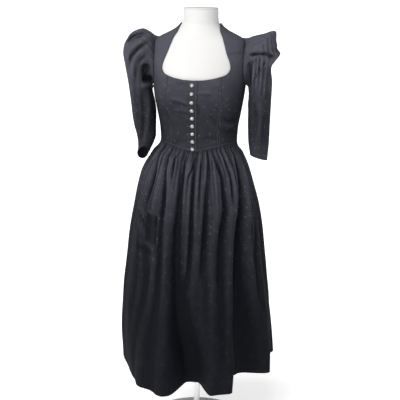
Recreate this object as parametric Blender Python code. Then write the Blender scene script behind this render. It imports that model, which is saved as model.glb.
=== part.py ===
"""Dirndl on a limbless dress form.

Metres, +Z up, the wearer's front towards -Y. The origin is the centre of the base's underside.
A place on the body or the skirt is an angle in degrees (0 front, +90 at +X, 180 back) and a height.
"""
import math

import bmesh
import bpy
import numpy as np

# Driving dimensions
CLOTH = 0.0020            # thickness of the cotton
EASE = 0.0015             # air between the form and the cloth
SEAM = 0.0003             # gap between two pieces at a seam
SHOULDER_EASE = 0.0015    # further air over the shoulders, where the form turns sharply
SHOULDER_START, SHOULDER_BLEND = 1.365, 0.025
BUST_FULLNESS = 0.015     # how far the cups stand out of the form's rings
BUST_HEIGHT = 1.218
BUST_TALL = 0.055         # how far the cups reach up and down
BUST_ANGLE = 38.0
CLOTH_CUPS, FORM_CUPS = 26.0, 20.0  # how far they reach round, in degrees
WAIST_SIDE = 1.057        # height of the waist seam at the side
WAIST_DIP_FRONT, DIP_FRONT_REACH = 0.021, 32.0  # the seam's dip, and its reach in degrees
WAIST_DIP_BACK, DIP_BACK_REACH = 0.008, 35.0
WAIST_DIP_FADE = 0.16     # drop over which the skirt's rows lose the dip
WAIST_BLEND = 0.034       # drop over which the skirt leaves the bodice's lower edge
HEM_HEIGHT = 0.240
GATHERS = 52              # gathers all round the waist
GATHER_RISE = 0.0065      # how far a gather stands out of the valley beside it
GATHER_DROPS = (0.0, 0.02, 0.06, 0.13, 0.22)   # drops below the waist seam
GATHER_SHARES = (0.62, 1.0, 0.9, 0.45, 0.0)    # share of a gather's height left at each
FOLD_START = 0.02         # drop over which the large folds begin
FOLD_OVERRUN = 40         # millimetres that a fold's first row still reaches above itself
SLEEVE_GATHERS = 12
PUFF_GATHER_RISE = 0.007
LAP_EDGE = 5.0            # angle where the upper front ends, past the centre
LAP_UNDER = -6.0          # angle where the lower front ends below it
LAP_RISE_START, LAP_RISE_REACH = 9.0, 4.0  # angles over which the upper front rises
BUTTON_COUNT = 9
BUTTON_RADIUS = 0.0068
BUTTON_ANGLE = -1.3
BUTTON_TOP, BUTTON_BOTTOM = 1.257, 1.044
BUTTON_SIDES = 12
POLE_RADIUS = 0.011
BASE_RADIUS = 0.190
BASE_HEIGHT = 0.014
BASE_EDGE, BASE_BEVEL, BASE_COLLAR = 0.002, 0.006, 0.030
TORSO_BOTTOM = 0.862
TORSO_ROUNDING = 0.006    # height of the rounded lower edge
NECK_TOP = 1.4965
CAP_HEIGHT = 0.005
CAP_ROUNDING = 0.0015
ROUNDED_SHARE = 0.96      # how far a rounded edge draws the ring in

# Heights of the rings that the torso is built through, in millimetres
TORSO_HEIGHTS = (885, 910, 935, 960, 985, 1008, 1030, 1050, 1072, 1097, 1125, 1160, 1195, 1230,
                 1265, 1300, 1332, 1358, 1376, 1388, 1397, 1405, 1413, 1422, 1432, 1442, 1450,
                 1457, 1468)
TORSO_SIDES = 32

# Rings of the form in millimetres: z, half_width, front, back, centre_y
FORM_RINGS = (
    (862, 146, 112, 122, 0),
    (900, 156, 122, 138, 0),
    (960, 152, 117, 130, 0),
    (1000, 140, 107, 112, 0),
    (1050, 127, 98, 92, 0),
    (1100, 129.5, 103, 90, 1),
    (1160, 139.5, 113, 96, 3),
    (1220, 149.5, 122, 102, 5),
    (1270, 155, 117, 106, 7),
    (1320, 158, 100, 107, 9),
    (1358, 157, 83, 102, 11),
    (1382, 153, 72, 94, 13),
    (1394, 146, 67, 89, 14),
    (1403, 134, 64, 85, 14),
    (1412, 116, 61, 81, 15),
    (1424, 92, 57, 74, 16),
    (1438, 73, 53, 65, 17),
    (1452, 62, 50, 58, 18),
    (1470, 59, 50, 56, 18),
    (1500, 58.5, 50, 56, 18),
)

# The skirt's bell before its folds, in millimetres: z, right_side, left_side, front, back
BELL_RINGS = (
    (1057, 131.5, 131.5, 101, 95),
    (1034, 146, 144, 116, 112),
    (998, 172, 163, 136, 134),
    (970, 190, 175, 150, 152),
    (943, 203, 184, 162, 168),
    (900, 214, 197, 178, 190),
    (834, 226, 216, 196, 214),
    (760, 241, 230, 213, 236),
    (686, 251, 239, 228, 256),
    (610, 262, 250, 242, 274),
    (496, 276, 264, 260, 296),
    (340, 290, 281, 279, 320),
    (240, 292, 288, 289, 334),
)

# Folds of the skirt, a row for each height: z, the valley's angle, its half_width in degrees and
# its depth in millimetres. A negative depth is a ridge.
SKIRT_FOLDS = {
    "front_recess": ((1030, -12.5, 2.5, 4), (870, -10, 3.5, 12), (790, -11.5, 4, 18),
                     (690, -10.8, 4.5, 24), (560, -7, 6, 34), (450, -1, 9, 56),
                     (350, 4.5, 12.5, 86), (240, 6.5, 15, 114)),
    "front_inner_left": ((1030, 4.5, 2.5, 4), (950, 3.2, 3, 10), (760, 3, 3.5, 12),
                         (690, 2.3, 3.5, 11), (615, -0.5, 3.5, 9), (550, -6, 3.5, 0)),
    "front_inner_right": ((1030, 20.4, 2.5, 3), (950, 18.2, 3, 9), (800, 15, 3.5, 13),
                          (690, 13, 3.5, 9), (600, 12, 3.5, 0)),
    "front_right": ((1030, 29, 2.5, 4), (995, 31.4, 3, 8), (950, 35.5, 3.2, 13), (860, 35, 4, 15),
                    (790, 30, 4, 14), (690, 27.5, 4, 10), (560, 26.2, 4, 0)),
    "right_recess": ((1030, 61, 3, 5), (950, 60, 4, 15), (900, 57.6, 4.5, 18), (830, 51.8, 5, 24),
                     (780, 47.3, 5.5, 28), (690, 45, 6.5, 32), (600, 45, 8, 40), (480, 48, 11, 58),
                     (350, 54, 15, 86), (240, 60, 19, 112)),
    "hip_right": ((1020, -53, 3, 6), (945, -43.5, 3.5, 12), (900, -44.5, 4, 10), (850, -46, 4, 0)),
    "hip_front_right": ((1020, -35, 3, 5), (945, -27.5, 3, 11), (875, -25, 3.5, 9),
                        (820, -24, 3.5, 0)),
    "thigh_right": ((860, -45, 5, 0), (755, -41.5, 6, 9), (670, -38, 6.5, 10), (560, -35, 7, 7),
                    (450, -33, 7, 0)),
    "side_right": ((960, -72, 5, 0), (800, -70, 7, 6), (600, -70, 11, 10), (400, -69, 18, 22),
                   (240, -68, 22, 38)),
    "back_right_side": ((1030, -101, 3, 4), (900, -103, 5, 14), (700, -106, 7, 30),
                        (450, -108, 9, 52), (240, -110, 10, 78)),
    "back_right": ((1030, -131, 3, 5), (900, -129, 5, 15), (700, -133, 6, 26), (450, -137, 8, 44),
                   (240, -139, 9, 66)),
    "back_middle_right": ((1030, -158, 3, 4), (900, -161, 4, 13), (700, -165, 6, 22),
                          (450, -166, 8, 42), (240, -166, 10, 74)),
    "back_middle_left": ((1030, 173, 3, 4), (900, 170, 4.5, 14), (700, 166, 6, 25),
                         (450, 166, 7, 38), (240, 165, 8, 58)),
    "back_left": ((1030, 147, 3, 5), (900, 144, 5, 15), (700, 141, 7, 30), (450, 139, 9, 56),
                  (240, 138, 11, 84)),
    "back_left_side": ((1030, 112, 3, 4), (900, 110, 5, 14), (700, 107, 6, 24), (450, 105, 8, 40),
                       (240, 104, 9, 60)),
    "side_left": ((960, 84, 4, 0), (800, 83, 5, 7), (650, 83, 6, 9), (450, 88, 8, 10),
                  (240, 90, 11, 20)),
    "ridge_back_left": ((800, 122, 6, 0), (600, 122, 7, -6), (400, 122, 7, -12),
                        (240, 122, 8, -16)),
    "ridge_front_right": ((870, -18.5, 5, -4), (720, -15.8, 5, -7), (590, -16, 5, -8),
                          (420, -15, 6, -14), (240, -13.5, 6, -24)),
    "ridge_front_left": ((700, 22, 5, 0), (600, 22, 5, -5), (420, 22.5, 5, -5), (240, 25, 6, 6)),
}
STEEP_FROM, STEEP_SPAN, STEEP_MOST = 30, 50, 1.2  # depths over which walls get steep, mm

# Lines on the bodice for the half at +X: (angle in degrees, height in millimetres)
NECKLINE_BOTTOM = ((0, 1272), (12, 1273.5), (24, 1278.5), (33, 1284.5))
NECKLINE_SIDE = ((33, 1284.5), (41, 1293), (45.2, 1308), (43.5, 1330), (39.5, 1352), (36.5, 1375),
                 (36, 1396), (44, 1416), (57, 1432), (73, 1444), (90, 1452))
NECKLINE_BACK = ((180, 1384), (168, 1386), (154, 1393), (142, 1406), (128, 1426), (110, 1444),
                 (90, 1452))
ARMHOLE_FRONT = ((90, 1250), (80, 1258), (73, 1278), (69.5, 1308), (70, 1345), (76, 1378), (90, 1400))
ARMHOLE_BACK_LOW = ((90, 1250), (101, 1257), (109, 1276), (113.5, 1300), (114.5, 1328))
ARMHOLE_BACK_HIGH = ((114.5, 1328), (113, 1350), (106, 1379), (90, 1400))
PRINCESS_FRONT = ((39, 1052), (36, 1120), (33.5, 1200), (33, 1284.5))
SEAM_BACK = ((150, 1052), (148, 1120), (143, 1190), (133, 1260), (122, 1308), (114.5, 1328))
SIDE_SEAM = ((90, 1057), (90, 1150), (90, 1250))
SHOULDER = ((90, 1400), (90, 1410), (90, 1426), (90, 1452))

# Rings of the sleeves in millimetres, from the armhole to the hem: outer_x, outer_z, inner_x,
# inner_z, half_depth, middle_y, rise, level. "outer" is the point away from the body, "inner" the
# one beside it, and the x of both is taken away from the centre. "rise" is the share of a full
# gather, and a "level" over 1 keeps more of the ring at its outer height. The front of the last
# rings is higher than their middle by the tilts, so that one looks into the cuff a little.
SLEEVE_RIGHT = (
    (168, 1414, 163, 1244, 50, 13, 0.6, 1.2),
    (200, 1426, 165, 1238, 56, 10, 1.0, 1.3),
    (232, 1411, 166, 1230, 60, 8, 1.0, 1.4),
    (253, 1386, 165, 1221, 61, 6, 0.8, 1.5),
    (262, 1356, 163, 1210, 59, 4, 0.5, 1.5),
    (256, 1308, 160, 1194, 56, 2, 0.2, 1.4),
    (245, 1256, 155, 1172, 53, -3, 0.0, 1.3),
    (233, 1187, 149, 1140, 50, -11, 0.0, 1.1),
    (221, 1118, 146, 1096, 47, -22, 0.0, 1.0),
    (205, 1060, 146, 1066, 44, -34, 0.0, 1.0),
    (202, 1024, 157, 1042, 43, -43, 0.0, 1.0),
    (203, 1003, 169, 1028, 42, -49, 0.0, 1.0),
)
SLEEVE_LEFT = (
    (172, 1408, 163, 1244, 50, 13, 0.5, 1.5),
    (212, 1418, 165, 1238, 56, 10, 0.7, 1.8),
    (252, 1425, 166, 1230, 59, 8, 0.7, 2.0),
    (254, 1398, 167, 1223, 60, 7, 0.7, 2.4),
    (257, 1372, 167, 1216, 61, 6, 0.8, 3.0),
    (268, 1353, 167, 1208, 65, 4, 1.0, 3.0),
    (256, 1334, 167, 1200, 59, 2, 1.0, 3.0),
    (243, 1316, 166, 1190, 53, 1, 0.7, 2.8),
    (245, 1262, 167, 1168, 50, -2, 0.2, 2.2),
    (244, 1190, 168, 1134, 48, -7, 0.0, 1.6),
    (243, 1120, 170, 1094, 46, -13, 0.0, 1.2),
    (242, 1060, 173, 1058, 44, -19, 0.0, 1.0),
    (238, 1003, 180, 1020, 42, -25, 0.0, 1.0),
)
TILT_RIGHT, TILT_LEFT = (4, 14, 24), (0, 2, 4)  # the last three rings, in millimetres
SLEEVE_TOP_ARC = 230.0    # degrees of the sleeve head that are gathered
SLEEVE_PLAIN_STEPS = 8    # steps across the plain stretch under the arm

COTTON = ("cotton", (0.020, 0.021, 0.027), 0.80, 0.0)
SHELL_WHITE = ("form_white", (0.86, 0.85, 0.83), 0.55, 0.0)
PEWTER = ("pewter", (0.62, 0.61, 0.58), 0.38, 1.0)
STEEL = ("steel", (0.66, 0.66, 0.66), 0.30, 1.0)
BASE_PAINT = ("base_paint", (0.80, 0.80, 0.79), 0.45, 0.0)


def smooth_between(xs, ys, at):
    """Monotone cubic through the points (xs, ys), so that a profile never overshoots its rows."""
    xs, ys = np.asarray(xs, float), np.asarray(ys, float)
    step = np.diff(xs)
    rate = np.diff(ys) / step
    slope = np.concatenate(([rate[0]], np.zeros(len(xs) - 2), [rate[-1]]))
    for i in range(1, len(xs) - 1):
        if rate[i - 1] * rate[i] > 0:
            before = 2 * step[i] + step[i - 1]
            after = step[i] + 2 * step[i - 1]
            slope[i] = (before + after) / (before / rate[i - 1] + after / rate[i])
    at = np.clip(np.asarray(at, float), xs[0], xs[-1])
    i = np.clip(np.searchsorted(xs, at) - 1, 0, len(xs) - 2)
    t = (at - xs[i]) / step[i]
    return ((2 * t**3 - 3 * t**2 + 1) * ys[i] + (t**3 - 2 * t**2 + t) * step[i] * slope[i]
            + (3 * t**2 - 2 * t**3) * ys[i + 1] + (t**3 - t**2) * step[i] * slope[i + 1])


def table_at(table, z):
    """Every column of a table after its z column, at the height z in metres."""
    rows = np.array(sorted(table), float)
    return [smooth_between(rows[:, 0], rows[:, k], z * 1000) for k in range(1, rows.shape[1])]


def bump(distance, width):
    return np.exp(-(distance / width) ** 2)


def ease(value, start, reach):
    """Smooth step from 0 at the start to 1 one reach further on."""
    share = np.clip((value - start) / reach, 0, 1)
    return share * share * (3 - 2 * share)


def bust(angle, z, spread):
    sides = sum(bump(angle - side, spread) for side in (-BUST_ANGLE, BUST_ANGLE))
    return BUST_FULLNESS * sides * bump(z - BUST_HEIGHT, BUST_TALL)


def body_point(angle, z, cups):
    """A point of the form's skin. The cups are wider on the cloth than on the form."""
    half_width, front, back, centre_y = (value / 1000 for value in table_at(FORM_RINGS, z))
    turn = np.radians(angle)
    depth = np.where(np.cos(turn) > 0, front, back)
    x, y = half_width * np.sin(turn), -depth * np.cos(turn)
    grow = 1 + bust(angle, z, cups) / np.hypot(x, y)
    return np.array([x * grow, centre_y + y * grow, z])


def on_body(angle, z, out, cups=CLOTH_CUPS):
    """A point of the cloth that lies `out` metres off the form, along the skin's normal."""
    out = out + SHOULDER_EASE * ease(z, SHOULDER_START, SHOULDER_BLEND)
    across = body_point(angle + 0.5, z, cups) - body_point(angle - 0.5, z, cups)
    up = body_point(angle, z + 0.001, cups) - body_point(angle, z - 0.001, cups)
    normal = np.cross(across, up)
    return body_point(angle, z, cups) + out * normal / np.linalg.norm(normal)


def waist_height(angle):
    behind = abs(abs(angle) - 180)
    return (WAIST_SIDE - WAIST_DIP_FRONT * bump(angle, DIP_FRONT_REACH)
            - WAIST_DIP_BACK * bump(behind, DIP_BACK_REACH))


class Line:
    """A line on the body through (angle, millimetres) points, read by its share of length."""

    def __init__(self, *parts):
        points = np.array([point for part in parts for point in part], float)
        points[:, 1] /= 1000
        repeated = np.all(np.diff(points, axis=0) == 0, axis=1)
        self.points = points[np.concatenate(([True], ~repeated))]
        places = np.array([body_point(angle, z, CLOTH_CUPS) for angle, z in self.points])
        lengths = np.linalg.norm(np.diff(places, axis=0), axis=1)
        self.share = np.concatenate(([0], np.cumsum(lengths))) / lengths.sum()

    def at(self, share):
        return np.array([smooth_parameter(self.share, self.points[:, k], share) for k in (0, 1)])


def smooth_parameter(knots, values, at):
    """Catmull-Rom through values at uneven knots, for a line that may turn back."""
    slopes = np.gradient(values, knots)
    at = float(np.clip(at, 0, 1))
    i = int(np.clip(np.searchsorted(knots, at) - 1, 0, len(knots) - 2))
    step = knots[i + 1] - knots[i]
    t = (at - knots[i]) / step
    return ((2 * t**3 - 3 * t**2 + 1) * values[i] + (t**3 - 2 * t**2 + t) * step * slopes[i]
            + (3 * t**2 - 2 * t**3) * values[i + 1] + (t**3 - t**2) * step * slopes[i + 1])


def stretch(line, steps, start=0.0, end=1.0, crowd=1.0):
    """Points along a line. A crowd over 1 puts them closer together towards its end."""
    shares = [1 - (1 - i / steps) ** crowd for i in range(steps + 1)]
    return [line.at(start + (end - start) * share) for share in shares]


def coons(bottom, top, left, right):
    """Grid of (angle, z) between four lines: rows go from bottom to top, columns left to right."""
    bottom, top, left, right = (np.array(side) for side in (bottom, top, left, right))
    rows, columns = len(left) - 1, len(bottom) - 1
    grid = np.zeros((rows + 1, columns + 1, 2))
    for i in range(rows + 1):
        v = i / rows
        for j in range(columns + 1):
            u = j / columns
            edges = (1 - u) * left[i] + u * right[i] + (1 - v) * bottom[j] + v * top[j]
            corners = ((1 - u) * (1 - v) * bottom[0] + u * (1 - v) * bottom[-1]
                       + (1 - u) * v * top[0] + u * v * top[-1])
            grid[i, j] = edges - corners
    return grid


def waist_line(start, end, steps):
    angles = [start + (end - start) * i / steps for i in range(steps + 1)]
    return [(angle, waist_height(angle)) for angle in angles]


def material(look):
    name, colour, roughness, metallic = look
    made = bpy.data.materials.get(name)
    if made is None:
        made = bpy.data.materials.new(name)
        made.use_nodes = True
        shader = made.node_tree.nodes["Principled BSDF"]
        shader.inputs["Base Color"].default_value = (*colour, 1.0)
        shader.inputs["Roughness"].default_value = roughness
        shader.inputs["Metallic"].default_value = metallic
        made.diffuse_color = (*colour, 1.0)
    return made


def add_object(name, points, faces, look, sharp=40.0):
    """Closed mesh with its faces turned outwards."""
    mesh = bpy.data.meshes.new(name)
    mesh.from_pydata([tuple(float(c) for c in point) for point in points], [], faces)
    work = bmesh.new()
    work.from_mesh(mesh)
    if work.calc_volume(signed=True) < 0:
        bmesh.ops.reverse_faces(work, faces=work.faces)
    work.to_mesh(mesh)
    work.free()
    mesh.shade_smooth()
    mesh.set_sharp_from_angle(angle=math.radians(sharp))
    made = bpy.data.objects.new(name, mesh)
    made.data.materials.append(material(look))
    bpy.context.scene.collection.objects.link(made)
    return made


def grid_faces(numbers, tube=False):
    """Faces of a grid of point numbers, its rows running down or up and its columns round."""
    following = np.roll(numbers, -1, axis=1)
    faces = np.stack((numbers[:-1], numbers[1:], following[1:], following[:-1]), -1)
    spans = numbers.shape[1] if tube else numbers.shape[1] - 1
    return faces[:, :spans].reshape(-1, 4)


def wall(name, outside, inside, faces, look):
    """Cloth between two sets of points with the same faces, closed along every free edge."""
    under = len(outside)
    faces = [tuple(face) for face in faces.tolist()]
    edges = {(face[k], face[(k + 1) % 4]) for face in faces for k in range(4)}
    rim = sorted(edge for edge in edges if edge[::-1] not in edges)
    lining = [tuple(under + number for number in reversed(face)) for face in faces]
    sides = [(b, a, under + a, under + b) for a, b in rim]
    return add_object(name, list(outside) + list(inside), faces + lining + sides, look)


def loft(name, rings, look, sharp=40.0):
    """Closed solid through rings of equal count, with flat ends."""
    rings = np.array(rings)
    numbers = np.arange(rings.shape[0] * rings.shape[1]).reshape(rings.shape[:2])
    faces = grid_faces(numbers, tube=True).tolist()
    faces += [numbers[0].tolist(), numbers[-1][::-1].tolist()]
    return add_object(name, rings.reshape(-1, 3), faces, look, sharp)


def turned(name, profile, sides, look):
    """Round solid about the Z axis from (radius, z) points."""
    turns = [2 * math.pi * k / sides for k in range(sides)]
    rings = [[(radius * math.cos(turn), radius * math.sin(turn), z) for turn in turns]
             for radius, z in profile]
    return loft(name, rings, look, 30.0)


def form_ring(z, share=1.0, at=None):
    """A ring of the form's skin at the height z, drawn in to a share and moved to another height."""
    angles = np.linspace(0, 360, TORSO_SIDES, endpoint=False)
    ring = np.array([body_point((angle + 180) % 360 - 180, z, FORM_CUPS) for angle in angles])
    ring[:, :2] *= share
    ring[:, 2] = z if at is None else at
    return ring


def build_form():
    base = ((BASE_RADIUS - BASE_EDGE, 0), (BASE_RADIUS, BASE_EDGE), (BASE_RADIUS, BASE_BEVEL),
            (BASE_RADIUS - BASE_BEVEL, BASE_HEIGHT - 2 * BASE_EDGE), (BASE_COLLAR, BASE_HEIGHT))
    turned("form_base", base, 48, BASE_PAINT)
    pole = ((POLE_RADIUS, BASE_HEIGHT + SEAM), (POLE_RADIUS, TORSO_BOTTOM - SEAM))
    turned("form_pole", pole, 20, STEEL)
    low = TORSO_BOTTOM + TORSO_ROUNDING
    rings = [form_ring(low, ROUNDED_SHARE, TORSO_BOTTOM), form_ring(low)]
    rings += [form_ring(height / 1000) for height in TORSO_HEIGHTS] + [form_ring(NECK_TOP)]
    loft("form_torso", rings, SHELL_WHITE)
    foot, top = NECK_TOP + SEAM, NECK_TOP + SEAM + CAP_HEIGHT
    cap = [form_ring(NECK_TOP, at=foot), form_ring(NECK_TOP, at=top - CAP_ROUNDING),
           form_ring(NECK_TOP, ROUNDED_SHARE, top)]
    loft("form_neck_cap", cap, SHELL_WHITE)


def cloth_points(grid, lift=None):
    """The outer and the inner points of a piece from its grid of (angle, z)."""
    outside = np.zeros((*grid.shape[:2], 3))
    inside = np.zeros_like(outside)
    for i, row in enumerate(grid):
        for j, (angle, z) in enumerate(row):
            rise = lift(angle) if lift else 0.0
            outside[i, j] = on_body(angle, z, EASE + CLOTH + rise)
            inside[i, j] = on_body(angle, z, EASE + rise)
    return outside, inside


def draw_back(points, edge, beside):
    """Draws an edge of a grid back by half a seam's gap. Both are indices such as [:, 0]."""
    inwards = points[beside] - points[edge]
    points[edge] += SEAM / 2 * inwards / np.linalg.norm(inwards, axis=1)[:, None]


FIRST_COLUMN, SECOND_COLUMN = np.s_[:, 0], np.s_[:, 1]
LAST_COLUMN, NEXT_TO_LAST_COLUMN = np.s_[:, -1], np.s_[:, -2]
LAST_ROW, NEXT_TO_LAST_ROW = np.s_[-1], np.s_[-2]


def panel(name, grid, mirror, lift=None, seams=("first", "last")):
    """One cut piece of the bodice. `seams` names the edges that meet another piece."""
    outside, inside = cloth_points(grid, lift)
    for points in (outside, inside):
        if "first" in seams:
            draw_back(points, FIRST_COLUMN, SECOND_COLUMN)
        if "last" in seams:
            draw_back(points, LAST_COLUMN, NEXT_TO_LAST_COLUMN)
        if "shoulder" in seams:
            draw_back(points, LAST_ROW, NEXT_TO_LAST_ROW)
        points[:, :, 0] *= -1 if mirror else 1
    numbers = np.arange(grid.shape[0] * grid.shape[1]).reshape(grid.shape[:2])
    wall(name, outside.reshape(-1, 3), inside.reshape(-1, 3), grid_faces(numbers), COTTON)


def back_panel(name, half, neck_row):
    """The back, cut in one: two mirrored halves that share their middle up to the neckline."""
    outside, inside = cloth_points(half)
    for points in (outside, inside):
        draw_back(points, FIRST_COLUMN, SECOND_COLUMN)
        draw_back(points, LAST_ROW, NEXT_TO_LAST_ROW)
        points[:neck_row + 1, -1, 0] = 0.0
    count = half.shape[0] * half.shape[1]
    numbers = np.arange(count).reshape(half.shape[:2])
    other = numbers + count
    other[:neck_row + 1, -1] = numbers[:neck_row + 1, -1]
    flip = np.array([-1, 1, 1])
    used = np.unique(np.concatenate((numbers.ravel(), other.ravel())))
    both = [np.concatenate((points.reshape(-1, 3), points.reshape(-1, 3) * flip))[used]
            for points in (outside, inside)]
    faces = np.concatenate((grid_faces(numbers), grid_faces(other[:, ::-1])))
    wall(name, both[0], both[1], np.searchsorted(used, faces), COTTON)


LOW_ROWS, HIGH_ROWS, BACK_HIGH_ROWS = 11, 10, 9
NECK_ROW = 12             # the row of the back that reaches its neckline
SIDE_COLUMNS, BACK_COLUMNS = 6, 7
FRONT_ANGLES = (33, 25.5, 18, 11, 6.5, 1.5, -2, -5)  # columns of the centre front at its top
TO_SHOULDER = 1.45        # how much closer the rows lie towards the shoulder


def overlap_lift(angle):
    """The upper front rises over the lower one near the centre. The angle is the mirrored one."""
    return (CLOTH + SEAM) * (1 - ease(angle, LAP_RISE_START, LAP_RISE_REACH))


def front_grid(start):
    """Centre front from the princess seam to the angle `start` past the centre."""
    foot_angle, top_angle = PRINCESS_FRONT[0][0], PRINCESS_FRONT[-1][0]
    shares = np.array([(top_angle - angle) / (top_angle - start) for angle in FRONT_ANGLES])
    shares[-1] = 1
    neck_angles, neck_heights = np.array(NECKLINE_BOTTOM, float).T
    tops = np.interp(abs(top_angle + (start - top_angle) * shares), neck_angles, neck_heights / 1000)
    feet = waist_height(foot_angle + (start - foot_angle) * shares)
    left = np.array(stretch(Line(PRINCESS_FRONT), LOW_ROWS))
    left[0] = foot_angle, feet[0]
    rows = (left[:, 1:] - feet[0]) / (tops[0] - feet[0])
    angles = left[:, :1] + (start - left[:, :1]) * shares
    return np.stack((angles, feet + (tops - feet) * rows), -1)


def build_bodice():
    neck_side, armhole = Line(NECKLINE_SIDE), Line(ARMHOLE_FRONT)
    princess, side, shoulder = Line(PRINCESS_FRONT), Line(SIDE_SEAM), Line(SHOULDER)
    seam_back, armhole_low = Line(SEAM_BACK), Line(ARMHOLE_BACK_LOW)
    armhole_high, neck_back = Line(ARMHOLE_BACK_HIGH), Line(NECKLINE_BACK)

    panel("bodice_front_right", front_grid(-LAP_EDGE), True, overlap_lift, ("first",))
    panel("bodice_front_left", front_grid(LAP_UNDER), False, None, ("first",))

    waist_side = waist_line(39, 90, SIDE_COLUMNS)
    left = stretch(princess, LOW_ROWS) + stretch(neck_side, HIGH_ROWS, crowd=TO_SHOULDER)[1:]
    right = stretch(side, LOW_ROWS) + stretch(armhole, HIGH_ROWS, crowd=TO_SHOULDER)[1:]
    left[0], right[0] = waist_side[0], waist_side[-1]
    top = stretch(shoulder, SIDE_COLUMNS, 1.0, 0.0)
    side_front = coons(waist_side, top, left, right)

    waist_back = waist_line(90, 150, SIDE_COLUMNS)
    left = stretch(side, LOW_ROWS)
    right = stretch(seam_back, LOW_ROWS)
    left[0], right[0] = waist_back[0], waist_back[-1]
    side_back = coons(waist_back, stretch(armhole_low, SIDE_COLUMNS), left, right)

    waist_centre = waist_line(150, 180, BACK_COLUMNS)
    left = stretch(seam_back, LOW_ROWS) + stretch(armhole_high, BACK_HIGH_ROWS, crowd=TO_SHOULDER)[1:]
    left[0] = waist_centre[0]
    foot, nape = waist_centre[-1][1], neck_back.at(0)[1]
    centre = [(180, foot + (nape - foot) * i / NECK_ROW) for i in range(NECK_ROW + 1)]
    right = centre + stretch(neck_back, len(left) - len(centre), crowd=TO_SHOULDER)[1:]
    half = coons(waist_centre, stretch(shoulder, BACK_COLUMNS), left, right)

    for mirror, hand in ((True, "right"), (False, "left")):
        panel("bodice_side_front_" + hand, side_front, mirror, seams=("first", "last", "shoulder"))
        panel("bodice_side_back_" + hand, side_back, mirror)
    back_panel("bodice_back", half, NECK_ROW)


# A button's profile: share of its radius, height in metres
BUTTON_PROFILE = ((0.66, 0.0), (1.0, 0.0012), (1.0, 0.0022), (0.71, 0.0045), (0.24, 0.0055))


def build_buttons():
    lift = EASE + 2 * CLOTH + 4 * SEAM
    turns = [2 * math.pi * k / BUTTON_SIDES for k in range(BUTTON_SIDES)]
    for number in range(BUTTON_COUNT):
        z = BUTTON_TOP + (BUTTON_BOTTOM - BUTTON_TOP) * number / (BUTTON_COUNT - 1)
        seat = on_body(BUTTON_ANGLE, z, lift)
        outward = on_body(BUTTON_ANGLE, z, lift + BUTTON_RADIUS) - seat
        outward /= np.linalg.norm(outward)
        across = np.cross((0, 0, 1), outward)
        across /= np.linalg.norm(across)
        up = np.cross(outward, across)
        rings = [[seat + outward * height
                  + BUTTON_RADIUS * share * (across * math.cos(turn) + up * math.sin(turn))
                  for turn in turns] for share, height in BUTTON_PROFILE]
        loft(f"button_{number + 1}", rings, PEWTER, 50.0)


def sleeve_steps():
    """Turns round a sleeve's ring: 0 at its outer point, dense over the gathered head."""
    head = np.linspace(-SLEEVE_TOP_ARC / 2, SLEEVE_TOP_ARC / 2, 2 * SLEEVE_GATHERS + 1)
    plain = np.linspace(SLEEVE_TOP_ARC / 2, 360 - SLEEVE_TOP_ARC / 2, SLEEVE_PLAIN_STEPS + 1)[1:-1]
    return np.concatenate((head, plain))


def armhole_ring(turns, out):
    """The armhole as a closed ring, read at the turns of the sleeve, starting at the shoulder."""
    front = Line(ARMHOLE_FRONT[::-1])
    back = Line(ARMHOLE_BACK_HIGH[::-1], ARMHOLE_BACK_LOW[::-1])
    ring = []
    for turn in turns:
        turn = (turn + 180) % 360 - 180
        line, share = (front, turn / 180) if turn >= 0 else (back, -turn / 180)
        angle, z = line.at(share)
        ring.append(on_body(angle, z, out))
    return np.array(ring)


def build_sleeve(name, table, tilts, mirror):
    turns = sleeve_steps()
    start = armhole_ring(turns, EASE + CLOTH + 4 * SEAM)
    centre = start.mean(axis=0)
    towards = centre - start
    outside = [start]
    inside = [start + CLOTH * towards / np.linalg.norm(towards, axis=1)[:, None]]
    tilts = (0,) * (len(table) - len(tilts)) + tilts
    for row, tilt in zip(table, tilts):
        outer_x, outer_z, inner_x, inner_z, half_depth, middle_y, rise, level = row
        outer = np.array([outer_x, middle_y, outer_z]) / 1000
        inner = np.array([inner_x, middle_y, inner_z]) / 1000
        middle, reach = (outer + inner) / 2, (outer - inner) / 2
        length = np.linalg.norm(reach)
        ring, under = [], []
        for number, turn in enumerate(turns):
            gathered = abs(turn) < SLEEVE_TOP_ARC / 2 - 1
            swell = rise * PUFF_GATHER_RISE * (number % 2 - 0.5) if gathered else 0.0
            c, s = math.cos(math.radians(turn)), math.sin(math.radians(turn))
            for points, thickness in ((ring, 0.0), (under, CLOTH)):
                along = (length + swell - thickness) * c
                deep = (half_depth / 1000 + swell - thickness) * s
                drop = ((1 - c) / 2) ** level - (1 - c) / 2
                shift = np.array([0, -deep, (inner[2] - outer[2]) * drop + tilt / 1000 * s])
                points.append(middle + reach / length * along + shift)
        outside.append(np.array(ring))
        inside.append(np.array(under))
    outside, inside = np.array(outside), np.array(inside)
    for points in (outside, inside):
        points[:, :, 0] *= -1 if mirror else 1
    numbers = np.arange(outside.shape[0] * outside.shape[1]).reshape(outside.shape[:2])
    wall(name, outside.reshape(-1, 3), inside.reshape(-1, 3), grid_faces(numbers, tube=True), COTTON)


def bell_radii(angle, z):
    right, left, front, back = (value / 1000 for value in table_at(BELL_RINGS, z))
    turn = math.radians(angle)
    width = left if math.sin(turn) > 0 else right
    depth = front if math.cos(turn) > 0 else back
    return width * math.sin(turn), -depth * math.cos(turn)


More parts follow.
